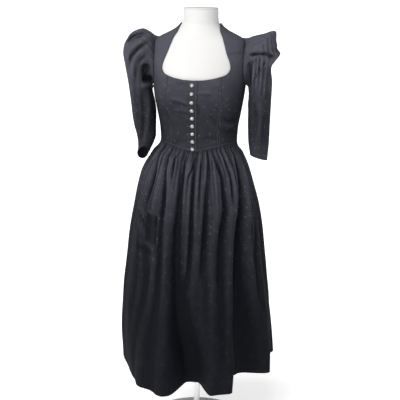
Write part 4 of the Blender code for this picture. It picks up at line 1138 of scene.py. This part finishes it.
def through_rings(rings):
    """Rows of points on a smooth surface through the rings."""
    rings = np.array(rings)
    knots = running(spans(rings).mean(axis=1))
    slopes = np.gradient(rings, knots, axis=0)
    rows = []
    for i in range(len(rings) - 1):
        count = SLEEVE_STEPS if i else HEAD_ROWS
        step = knots[i + 1] - knots[i]
        for k in range(count + (i == len(rings) - 2)):
            rows.append(hermite(k / count, step, rings[i], slopes[i], rings[i + 1], slopes[i + 1]))
    return np.array(rows)


def sleeve_points(table, tilts, creases, seed, mirror):
    """Outer and inner points of a sleeve, ring by ring from the armhole to the cuff."""
    turns = np.linspace(-180, 180, SLEEVE_SIDES, endpoint=False)
    tilts = (0,) * (len(table) - len(tilts)) + tilts
    rings = [armhole_ring(turns, EASE + CLOTH + ARMHOLE_GAP)]
    rings += [sleeve_ring(row, turns, tilt) for row, tilt in zip(table, tilts)]
    outer = through_rings(rings) * (-1 if mirror else 1, 1, 1)
    normals = grid_normals(outer, tube=True)
    normals = turned_out(normals, outer - outer.mean(axis=1, keepdims=True))
    facing, behind = (ramp(way * normals[..., 1], 0.0, SLEEVE_TURN) for way in (-1, 1))
    away = ramp(np.arange(len(outer)) / len(outer), 0.0, SLEEVE_START)[:, None]
    press = crease_depth(outer, creases, facing)
    press += crease_depth(outer, creases, behind, (6.0 if mirror else -6.0, -9.0))
    press = np.clip(press, *SLEEVE_LIMITS) + unevenness(outer, SLEEVE_UNEVEN, seed)
    outer = outer - (press * away)[..., None] * normals
    bent = grid_normals(outer, tube=True)
    bent = bent * np.where((bent * normals).sum(axis=-1, keepdims=True) < 0, -1.0, 1.0)
    inner = outer - sizes().cloth_thickness * bent
    # Painted shade in the creases and painted light on the ridges
    return outer, inner, np.clip(0.5 - press / SLEEVE_SHADE_DEPTH, 0, 1)


# Patterns
TOPSTITCH, TOPSTITCH_WAIST, TOPSTITCH_CUFF = 0.0025, 0.004, 0.014
HOLE_FAR, HOLE_NEAR = -8.6, -3.2    # a buttonhole's ends, in degrees
HOLE_SLIT, HOLE_LIFT, THREAD_LIFT = 0.0008, 0.0004, 0.0003
HOLE_POINTS, BAR_POINTS, BAR_REACH = 12, 4, 1.6
HOLE_STITCH, HOLE_STITCH_GAP = 0.0011, 0.0002
BUTTON_SIDES = 40
PETALS, PETAL_RISE = 6, 0.05
# Rings of a button of radius 1: radius, height
BUTTON_PROFILE = (
    (0.30, 0.0), (0.62, 0.03), (0.92, 0.16), (0.99, 0.22), (1.0, 0.30), (0.95, 0.38), (0.86, 0.39),
    (0.78, 0.33), (0.74, 0.33), (0.68, 0.50), (0.50, 0.68), (0.26, 0.79), (0.06, 0.82),
)


def start_tree(name, floats, others):
    """A Geometry Nodes tree with its named inputs, and its input node."""
    tree = bpy.data.node_groups.new(name, "GeometryNodeTree")
    face = tree.interface
    face.new_socket("Geometry", in_out="INPUT", socket_type="NodeSocketGeometry")
    for label, default in floats:
        socket = face.new_socket(label, in_out="INPUT", socket_type="NodeSocketFloat")
        socket.default_value = default
    for label, kind in others:
        face.new_socket(label, in_out="INPUT", socket_type=kind)
    face.new_socket("Geometry", in_out="OUTPUT", socket_type="NodeSocketGeometry")
    return tree, tree.nodes.new("NodeGroupInput")


def end_tree(tree, instances, material):
    """Realizes the instances, gives them their material and ends the tree."""
    real = tree.nodes.new("GeometryNodeRealizeInstances")
    paint = tree.nodes.new("GeometryNodeSetMaterial")
    end = tree.nodes.new("NodeGroupOutput")
    tree.links.new(instances, real.inputs["Geometry"])
    tree.links.new(real.outputs["Geometry"], paint.inputs["Geometry"])
    tree.links.new(material, paint.inputs["Material"])
    tree.links.new(paint.outputs["Geometry"], end.inputs["Geometry"])
    return tree


def button_tree():
    """Geometry Nodes: the pattern button on every point, turned to face along its `outward`."""
    tree, start = start_tree("button_row", (("Button radius", 0.0060),),
                             (("Pattern", "NodeSocketObject"), ("Metal", "NodeSocketMaterial")))
    nodes, link = tree.nodes, tree.links.new
    pattern = nodes.new("GeometryNodeObjectInfo")
    facing = nodes.new("GeometryNodeInputNamedAttribute")
    facing.data_type = "FLOAT_VECTOR"
    facing.inputs["Name"].default_value = "outward"
    turn = nodes.new("FunctionNodeAlignRotationToVector")
    turn.axis = "Z"
    place = nodes.new("GeometryNodeInstanceOnPoints")
    link(start.outputs["Pattern"], pattern.inputs["Object"])
    link(start.outputs["Geometry"], place.inputs["Points"])
    link(pattern.outputs["Geometry"], place.inputs["Instance"])
    link(facing.outputs["Attribute"], turn.inputs["Vector"])
    link(turn.outputs["Rotation"], place.inputs["Rotation"])
    link(start.outputs["Button radius"], place.inputs["Scale"])
    return end_tree(tree, place.outputs["Instances"], start.outputs["Metal"])


def stitch_tree():
    """Geometry Nodes: one thread for each stitch along the lines of a mesh."""
    tree = bpy.data.node_groups.get("stitch_line")
    if tree:
        return tree
    tree, start = start_tree("stitch_line", (("Stitch length", 0.0026), ("Stitch gap", 0.0012),
                                             ("Thread radius", 0.0004)),
                             (("Thread", "NodeSocketMaterial"),))
    nodes, link = tree.nodes, tree.links.new
    path = nodes.new("GeometryNodeMeshToCurve")
    pitch = nodes.new("ShaderNodeMath")
    spread = nodes.new("GeometryNodeCurveToPoints")
    spread.mode = "LENGTH"
    thread = nodes.new("GeometryNodeMeshCylinder")
    thread.inputs["Vertices"].default_value = 6
    place = nodes.new("GeometryNodeInstanceOnPoints")
    link(start.outputs["Geometry"], path.inputs["Mesh"])
    link(path.outputs["Curve"], spread.inputs["Curve"])
    link(start.outputs["Stitch length"], pitch.inputs[0])
    link(start.outputs["Stitch gap"], pitch.inputs[1])
    link(pitch.outputs[0], spread.inputs["Length"])
    link(start.outputs["Thread radius"], thread.inputs["Radius"])
    link(start.outputs["Stitch length"], thread.inputs["Depth"])
    link(spread.outputs["Points"], place.inputs["Points"])
    link(spread.outputs["Rotation"], place.inputs["Rotation"])
    link(thread.outputs["Mesh"], place.inputs["Instance"])
    return end_tree(tree, place.outputs["Instances"], start.outputs["Thread"])


def grown(name, lines, tree, values, outward=None):
    """Runs a node tree on lines of points and keeps the result as a plain mesh."""
    points, edges = [], []
    for line in lines:
        first = len(points)
        points += [tuple(p) for p in line]
        edges += [(first + k, first + k + 1) for k in range(len(line) - 1)]
    seed = bpy.data.meshes.new(name + "_lines")
    seed.from_pydata(points, edges, [])
    if outward is not None:
        layer = seed.attributes.new("outward", "FLOAT_VECTOR", "POINT")
        layer.data.foreach_set("vector", outward.ravel())
    made = bpy.data.objects.new(name, seed)
    bpy.context.scene.collection.objects.link(made)
    modifier = made.modifiers.new("pattern", "NODES")
    modifier.node_group = tree
    for item in tree.interface.items_tree:
        if item.item_type == "SOCKET" and item.in_out == "INPUT" and item.name in values:
            modifier[item.identifier] = values[item.name]
    evaluated = made.evaluated_get(bpy.context.evaluated_depsgraph_get())
    mesh = bpy.data.meshes.new_from_object(evaluated)
    made.modifiers.remove(modifier)
    made.data = mesh
    mesh.name = name
    bpy.data.meshes.remove(seed)
    return made


def inset_line(outer, axis, edge, inset, tube=False):
    """A line beside one edge of a cloth grid, raised just off the cloth."""
    middle = outer.mean(axis=1, keepdims=True) if tube else outer * (0.0, 0.0, 1.0)
    grid = outer + THREAD_LIFT * turned_out(grid_normals(outer, tube), outer - middle)
    grid = grid if axis == 1 else grid.swapaxes(0, 1)
    line = []
    for row in grid if edge == 0 else grid[:, ::-1]:
        run = running(spans(row))
        line.append([np.interp(inset, run, row[:, k]) for k in range(3)])
    return np.array(line + line[:1] if tube else line)


# Turned shapes
FORM_SIDES, POLE_SIDES, BASE_SIDES = 128, 48, 128
FOOT_RING = TORSO_BOTTOM + 0.006
FORM_ROWS = ((FOOT_RING, 1.30, 60), (1.304, NECK_TOP, 70))   # from, to, rows
FOOT_RINGS = ((0.95, 0.0), (0.985, 0.002))   # share of the foot's ring, height over the bottom
CAP_RINGS = ((0.995, 0), (1.0, 0.0006), (1.0, 0.0034), (0.992, 0.0045), (0.975, CAP_HEIGHT))
POLE_HEIGHTS = (BASE_HEIGHT + SEAM, 0.30, 0.60, TORSO_BOTTOM - SEAM)
# Rings of the base: radius, height
BASE_PROFILE = (
    (BASE_RADIUS - 0.002, 0), (BASE_RADIUS, 0.002), (BASE_RADIUS, 0.0055),
    (BASE_RADIUS - 0.0015, 0.0078), (BASE_RADIUS - 0.006, 0.0096), (0.10, 0.0125),
    (0.034, 0.0138), (0.030, BASE_HEIGHT),
)


def body_ring(read_at, share, height):
    """The form's ring at the height `read_at`, scaled and put at another height."""
    angles = np.linspace(-180, 180, FORM_SIDES, endpoint=False)
    ring = body_point(angles, np.full(FORM_SIDES, read_at), FORM_CUP_SPREAD)
    return ring * (share, share, 0) + (0, 0, height)


def circle(radius, height, sides):
    turns = np.linspace(0, 2 * math.pi, sides, endpoint=False)
    places = np.broadcast_arrays(radius * np.cos(turns), radius * np.sin(turns), height)
    return np.stack(places, -1)


def turned(name, rings, finish, slot, node):
    """A closed piece through rings of points."""
    rings = np.array(rings)
    piece = make_object(name, rings.reshape(-1, 3), closed_faces(rings), finish, sharp=30.0)
    settle(piece, slot, node)


# Operators
class DIRNDL_OT_form(bpy.types.Operator):
    """Builds the limbless dress form with its neck cap, pole and base"""

    bl_idname = "dirndl.form"
    bl_label = "Dress form"

    def execute(self, context):
        heights = np.concatenate([np.linspace(*rows) for rows in FORM_ROWS])
        rings = [body_ring(FOOT_RING, share, TORSO_BOTTOM + rise) for share, rise in FOOT_RINGS]
        rings += [body_ring(z, 1.0, z) for z in heights]
        turned("form_torso_cover", rings, once("form_jersey", jersey_finish), "form_white",
               "form_torso")
        rings = [body_ring(NECK_TOP, share, NECK_TOP + SEAM + rise) for share, rise in CAP_RINGS]
        turned("form_neck_plate", rings, plain("neck_cap", (0.56, 0.555, 0.54), 0.6), "form_white",
               "form_neck_cap")
        rings = [circle(POLE_RADIUS, z, POLE_SIDES) for z in POLE_HEIGHTS]
        turned("form_pole_steel", rings, plain("brushed_steel", (0.62, 0.62, 0.62), 0.3, 1.0),
               "steel", "form_pole")
        rings = [circle(*row, BASE_SIDES) for row in BASE_PROFILE]
        turned("form_base_plate", rings, plain("base_paint", (0.84, 0.84, 0.83), 0.5),
               "base_paint", "form_base")
        return {"FINISHED"}


class DIRNDL_OT_bodice(bpy.types.Operator):
    """Builds the seven pieces of the bodice"""

    bl_idname = "dirndl.bodice"
    bl_label = "Bodice"

    def execute(self, context):
        for name, *shape in bodice_parts():
            cloth_piece(name, *bodice_points(*shape), "stretched", ["form_torso"])
        back_piece()
        return {"FINISHED"}


class DIRNDL_OT_sleeves(bpy.types.Operator):
    """Builds the two puffed three-quarter sleeves"""

    bl_idname = "dirndl.sleeves"
    bl_label = "Sleeves"

    def execute(self, context):
        for hand, shape in SLEEVES.items():
            holders = [f"bodice_side_{side}_{hand}" for side in ("front", "back")]
            cloth_piece("sleeve_" + hand, *sleeve_points(*shape), "hung", holders, tube=True)
        return {"FINISHED"}


class DIRNDL_OT_skirt(bpy.types.Operator):
    """Builds the gathered skirt's front and back"""

    bl_idname = "dirndl.skirt"
    bl_label = "Skirt"

    def execute(self, context):
        skirt_half("skirt_front", -90.0)
        skirt_half("skirt_back", 90.0)
        return {"FINISHED"}


class DIRNDL_OT_buttons(bpy.types.Operator):
    """Builds the row of domed pewter buttons"""

    bl_idname = "dirndl.buttons"
    bl_label = "Buttons"

    def execute(self, context):
        heights = np.linspace(BUTTON_TOP, BUTTON_BOTTOM, BUTTON_COUNT)
        angles = np.full(BUTTON_COUNT, BUTTON_ANGLE)
        seats = on_body(angles, heights, EASE + 2 * CLOTH + 4 * SEAM)
        pattern = self.one_button()
        values = {"Button radius": sizes().button_radius, "Pattern": pattern,
                  "Metal": once("pewter_cast", pewter_finish)}
        outward = body_normal(angles, heights)
        piece = grown("pewter_buttons", [seats], button_tree(), values, outward)
        bpy.data.meshes.remove(pattern.data)
        settle(piece, "pewter", *[f"button_{number + 1}" for number in range(BUTTON_COUNT)])
        return {"FINISHED"}

    @staticmethod
    def one_button():
        """A button of 1 m radius on its back, with a rim, a chased ring of petals and a dome."""
        turns = np.linspace(0, 2 * math.pi, BUTTON_SIDES, endpoint=False)
        petal = PETAL_RISE * np.cos(PETALS * turns)
        rings = np.array([circle(share, height + petal * (0.2 < share < 0.8), BUTTON_SIDES)
                          for share, height in BUTTON_PROFILE])
        return make_object("button_pattern", rings.reshape(-1, 3), closed_faces(rings), None,
                           sharp=50.0)


class DIRNDL_OT_stitching(bpy.types.Operator):
    """Sews the topstitching and the buttonholes"""

    bl_idname = "dirndl.stitching"
    bl_label = "Stitching"

    def execute(self, context):
        thread = plain("sewing_thread", colours().thread, 0.9)
        values = {"Stitch length": sizes().stitch_length, "Thread": thread}
        close = values | {"Stitch length": HOLE_STITCH, "Stitch gap": HOLE_STITCH_GAP}
        sewn = {"bodice_topstitching": (self.bodice_lines(), values)}
        for hand, shape in SLEEVES.items():
            line = inset_line(sleeve_points(*shape)[0], 0, -1, TOPSTITCH_CUFF, tube=True)
            sewn[f"sleeve_{hand}_topstitching"] = [line], values
        sewn["buttonhole_stitching"] = self.buttonholes(), close
        for name, (lines, lengths) in sewn.items():
            settle(grown(name, lines, stitch_tree(), lengths), "cotton")
        return {"FINISHED"}

    @staticmethod
    def bodice_lines():
        """Lines beside the waist, the princess and back seams, the neckline and the placket."""
        lines = []
        for name, *shape in bodice_parts():
            outer = bodice_points(*shape)[0]
            lines.append(inset_line(outer, 0, 0, TOPSTITCH_WAIST))
            if "side_back" not in name:
                lines.append(inset_line(outer, 1, 0, TOPSTITCH))
            if "bodice_front" in name:
                lines.append(inset_line(outer, 0, -1, TOPSTITCH_WAIST))
            if name == "bodice_front_right":
                lines.append(inset_line(outer, 1, -1, TOPSTITCH_WAIST))
        half = bodice_points(back_grid(), False, 0.0, BACK_SEAMS)[0]
        for side in (-1, 1):
            outer = half * (side, 1, 1)
            lines.append(inset_line(outer, 0, 0, TOPSTITCH_WAIST))
            lines.append(inset_line(outer, 1, 0, TOPSTITCH)[:LOW_ROWS + 1])
            lines.append(inset_line(outer, 1, -1, TOPSTITCH_WAIST)[NECK_ROW + 1:])
        return lines

    @staticmethod
    def buttonholes():
        """Two rows of close stitches on the sides of every hole, and a bar at its end."""
        lines = []
        lift = EASE + 2 * CLOTH + SEAM + HOLE_LIFT
        for z in np.linspace(BUTTON_TOP, BUTTON_BOTTOM, BUTTON_COUNT):
            for rise in (-HOLE_SLIT, HOLE_SLIT):
                angles = np.linspace(HOLE_FAR, HOLE_NEAR, HOLE_POINTS)
                lines.append(on_body(angles, np.full(HOLE_POINTS, z + rise), lift))
            ends = np.linspace(-BAR_REACH * HOLE_SLIT, BAR_REACH * HOLE_SLIT, BAR_POINTS)
            lines.append(on_body(np.full(BAR_POINTS, HOLE_FAR), z + ends, lift))
        return lines


# Stage and camera
FLOOR_REACH = 90.0
WORLD_STRENGTH = 0.30
KEY_STRENGTH, KEY_SOFTNESS, KEY_PLACE, KEY_TARGET = 2.7, 50.0, (-1.2, -2.0, 4.0), (0.0, 0.0, 1.0)
TOP_POWER, TOP_SIZE, TOP_PLACE, TOP_TARGET = 8.0, 0.9, (-0.7, -1.5, 2.6), (0.0, 0.0, 1.25)
PAPER_GLOW = 0.62
CAMERA_AROUND, CAMERA_ABOVE, CAMERA_ROLL = 10.0, 14.0, -0.5   # degrees
CAMERA_AWAY, CAMERA_AIM = 3.2, (0, 0, 0.846)
FOCAL_PIXELS, SHIFT_PIXELS, PICTURE_PIXELS, SENSOR = 920.0, 1.6, 400, 36.0


class DIRNDL_OT_stage(bpy.types.Operator):
    """Sets the floor and the studio light"""

    bl_idname = "dirndl.stage"
    bl_label = "Stage"

    def execute(self, context):
        mesh = bpy.data.meshes.new("stage_floor")
        mesh.from_pydata([(x * FLOOR_REACH, y * FLOOR_REACH, 0)
                          for x, y in ((-1, -1), (1, -1), (1, 1), (-1, 1))], [], [(0, 1, 2, 3)])
        mesh.materials.append(once("stage_paper", self.paper_finish))
        floor = bpy.data.objects.new("stage_floor", mesh)
        context.scene.collection.objects.link(floor)
        world = bpy.data.worlds.new("studio")
        world.use_nodes = True
        backdrop = world.node_tree.nodes["Background"]
        backdrop.inputs["Color"].default_value = (1.0, 1.0, 1.0, 1.0)
        backdrop.inputs["Strength"].default_value = WORLD_STRENGTH
        context.scene.world = world
        context.scene.view_settings.view_transform = "Standard"
        key = bpy.data.lights.new("key_light", "SUN")
        key.energy, key.angle = KEY_STRENGTH, math.radians(KEY_SOFTNESS)
        self.aim(context, key, KEY_PLACE, KEY_TARGET)
        top = bpy.data.lights.new("top_light", "AREA")
        top.size, top.energy = TOP_SIZE, TOP_POWER
        self.aim(context, top, TOP_PLACE, TOP_TARGET)
        return {"FINISHED"}

    @staticmethod
    def paper_finish():
        """White backing paper that glows a little, so that shadows on it stay pale."""
        finish = Finish("stage_paper", (0.90, 0.90, 0.90), 0.9)
        finish.set("Specular IOR Level", 0.0)
        finish.set("Emission Color", (1.0, 1.0, 1.0, 1.0))
        finish.set("Emission Strength", PAPER_GLOW)
        return finish.material

    @staticmethod
    def aim(context, lamp, place, target):
        holder = bpy.data.objects.new(lamp.name, lamp)
        holder.location = place
        way = Vector(target) - Vector(place)
        holder.rotation_euler = way.to_track_quat("-Z", "Y").to_euler()
        context.scene.collection.objects.link(holder)


class DIRNDL_OT_camera(bpy.types.Operator):
    """Places the camera at the photograph's viewing angle"""

    bl_idname = "dirndl.camera"
    bl_label = "Camera"

    def execute(self, context):
        around, above, roll = (math.radians(angle) for angle in
                               (CAMERA_AROUND, CAMERA_ABOVE, CAMERA_ROLL))
        back = Vector((math.sin(around) * math.cos(above), -math.cos(around) * math.cos(above),
                       math.sin(above)))
        right = Vector((math.cos(around), math.sin(around), 0.0))
        up = back.cross(right)
        level = right * math.cos(roll) - up * math.sin(roll)
        upright = up * math.cos(roll) + right * math.sin(roll)
        lens = bpy.data.cameras.new("camera")
        lens.sensor_width = SENSOR
        lens.lens = FOCAL_PIXELS * SENSOR / PICTURE_PIXELS
        lens.shift_x = SHIFT_PIXELS / PICTURE_PIXELS
        camera = bpy.data.objects.new("camera", lens)
        camera.matrix_world = (Matrix.Translation(Vector(CAMERA_AIM) + back * CAMERA_AWAY)
                               @ Matrix((level, upright, back)).transposed().to_4x4())
        context.scene.collection.objects.link(camera)
        context.scene.camera = camera
        return {"FINISHED"}


class DIRNDL_PT_panel(bpy.types.Panel):
    """Lists the steps in the 3D view's sidebar"""

    bl_idname = "DIRNDL_PT_panel"
    bl_label = "Dirndl"
    bl_space_type = "VIEW_3D"
    bl_region_type = "UI"
    bl_category = "Dirndl"

    def draw(self, context):
        for group in (context.scene.dirndl_sizes, context.scene.dirndl_colours):
            for name in group.__annotations__:
                self.layout.prop(group, name)
        for step in STEPS:
            self.layout.operator(step.bl_idname)


STEPS = (DIRNDL_OT_camera, DIRNDL_OT_form, DIRNDL_OT_bodice, DIRNDL_OT_sleeves, DIRNDL_OT_skirt,
         DIRNDL_OT_buttons, DIRNDL_OT_stitching, DIRNDL_OT_stage)
CLASSES = (DirndlSizes, DirndlColours, *STEPS, DIRNDL_PT_panel)


def register():
    for each in CLASSES:
        bpy.utils.register_class(each)
    bpy.types.Scene.dirndl_sizes = bpy.props.PointerProperty(type=DirndlSizes)
    bpy.types.Scene.dirndl_colours = bpy.props.PointerProperty(type=DirndlColours)


def unregister():
    del bpy.types.Scene.dirndl_colours
    del bpy.types.Scene.dirndl_sizes
    for each in reversed(CLASSES):
        bpy.utils.unregister_class(each)


def main():
    register()
    bpy.ops.dirndl.camera()
    bpy.ops.dirndl.form()
    bpy.ops.dirndl.bodice()
    bpy.ops.dirndl.sleeves()
    bpy.ops.dirndl.skirt()
    bpy.ops.dirndl.buttons()
    bpy.ops.dirndl.stitching()
    bpy.ops.dirndl.stage()


if __name__ == "__main__":
    main()
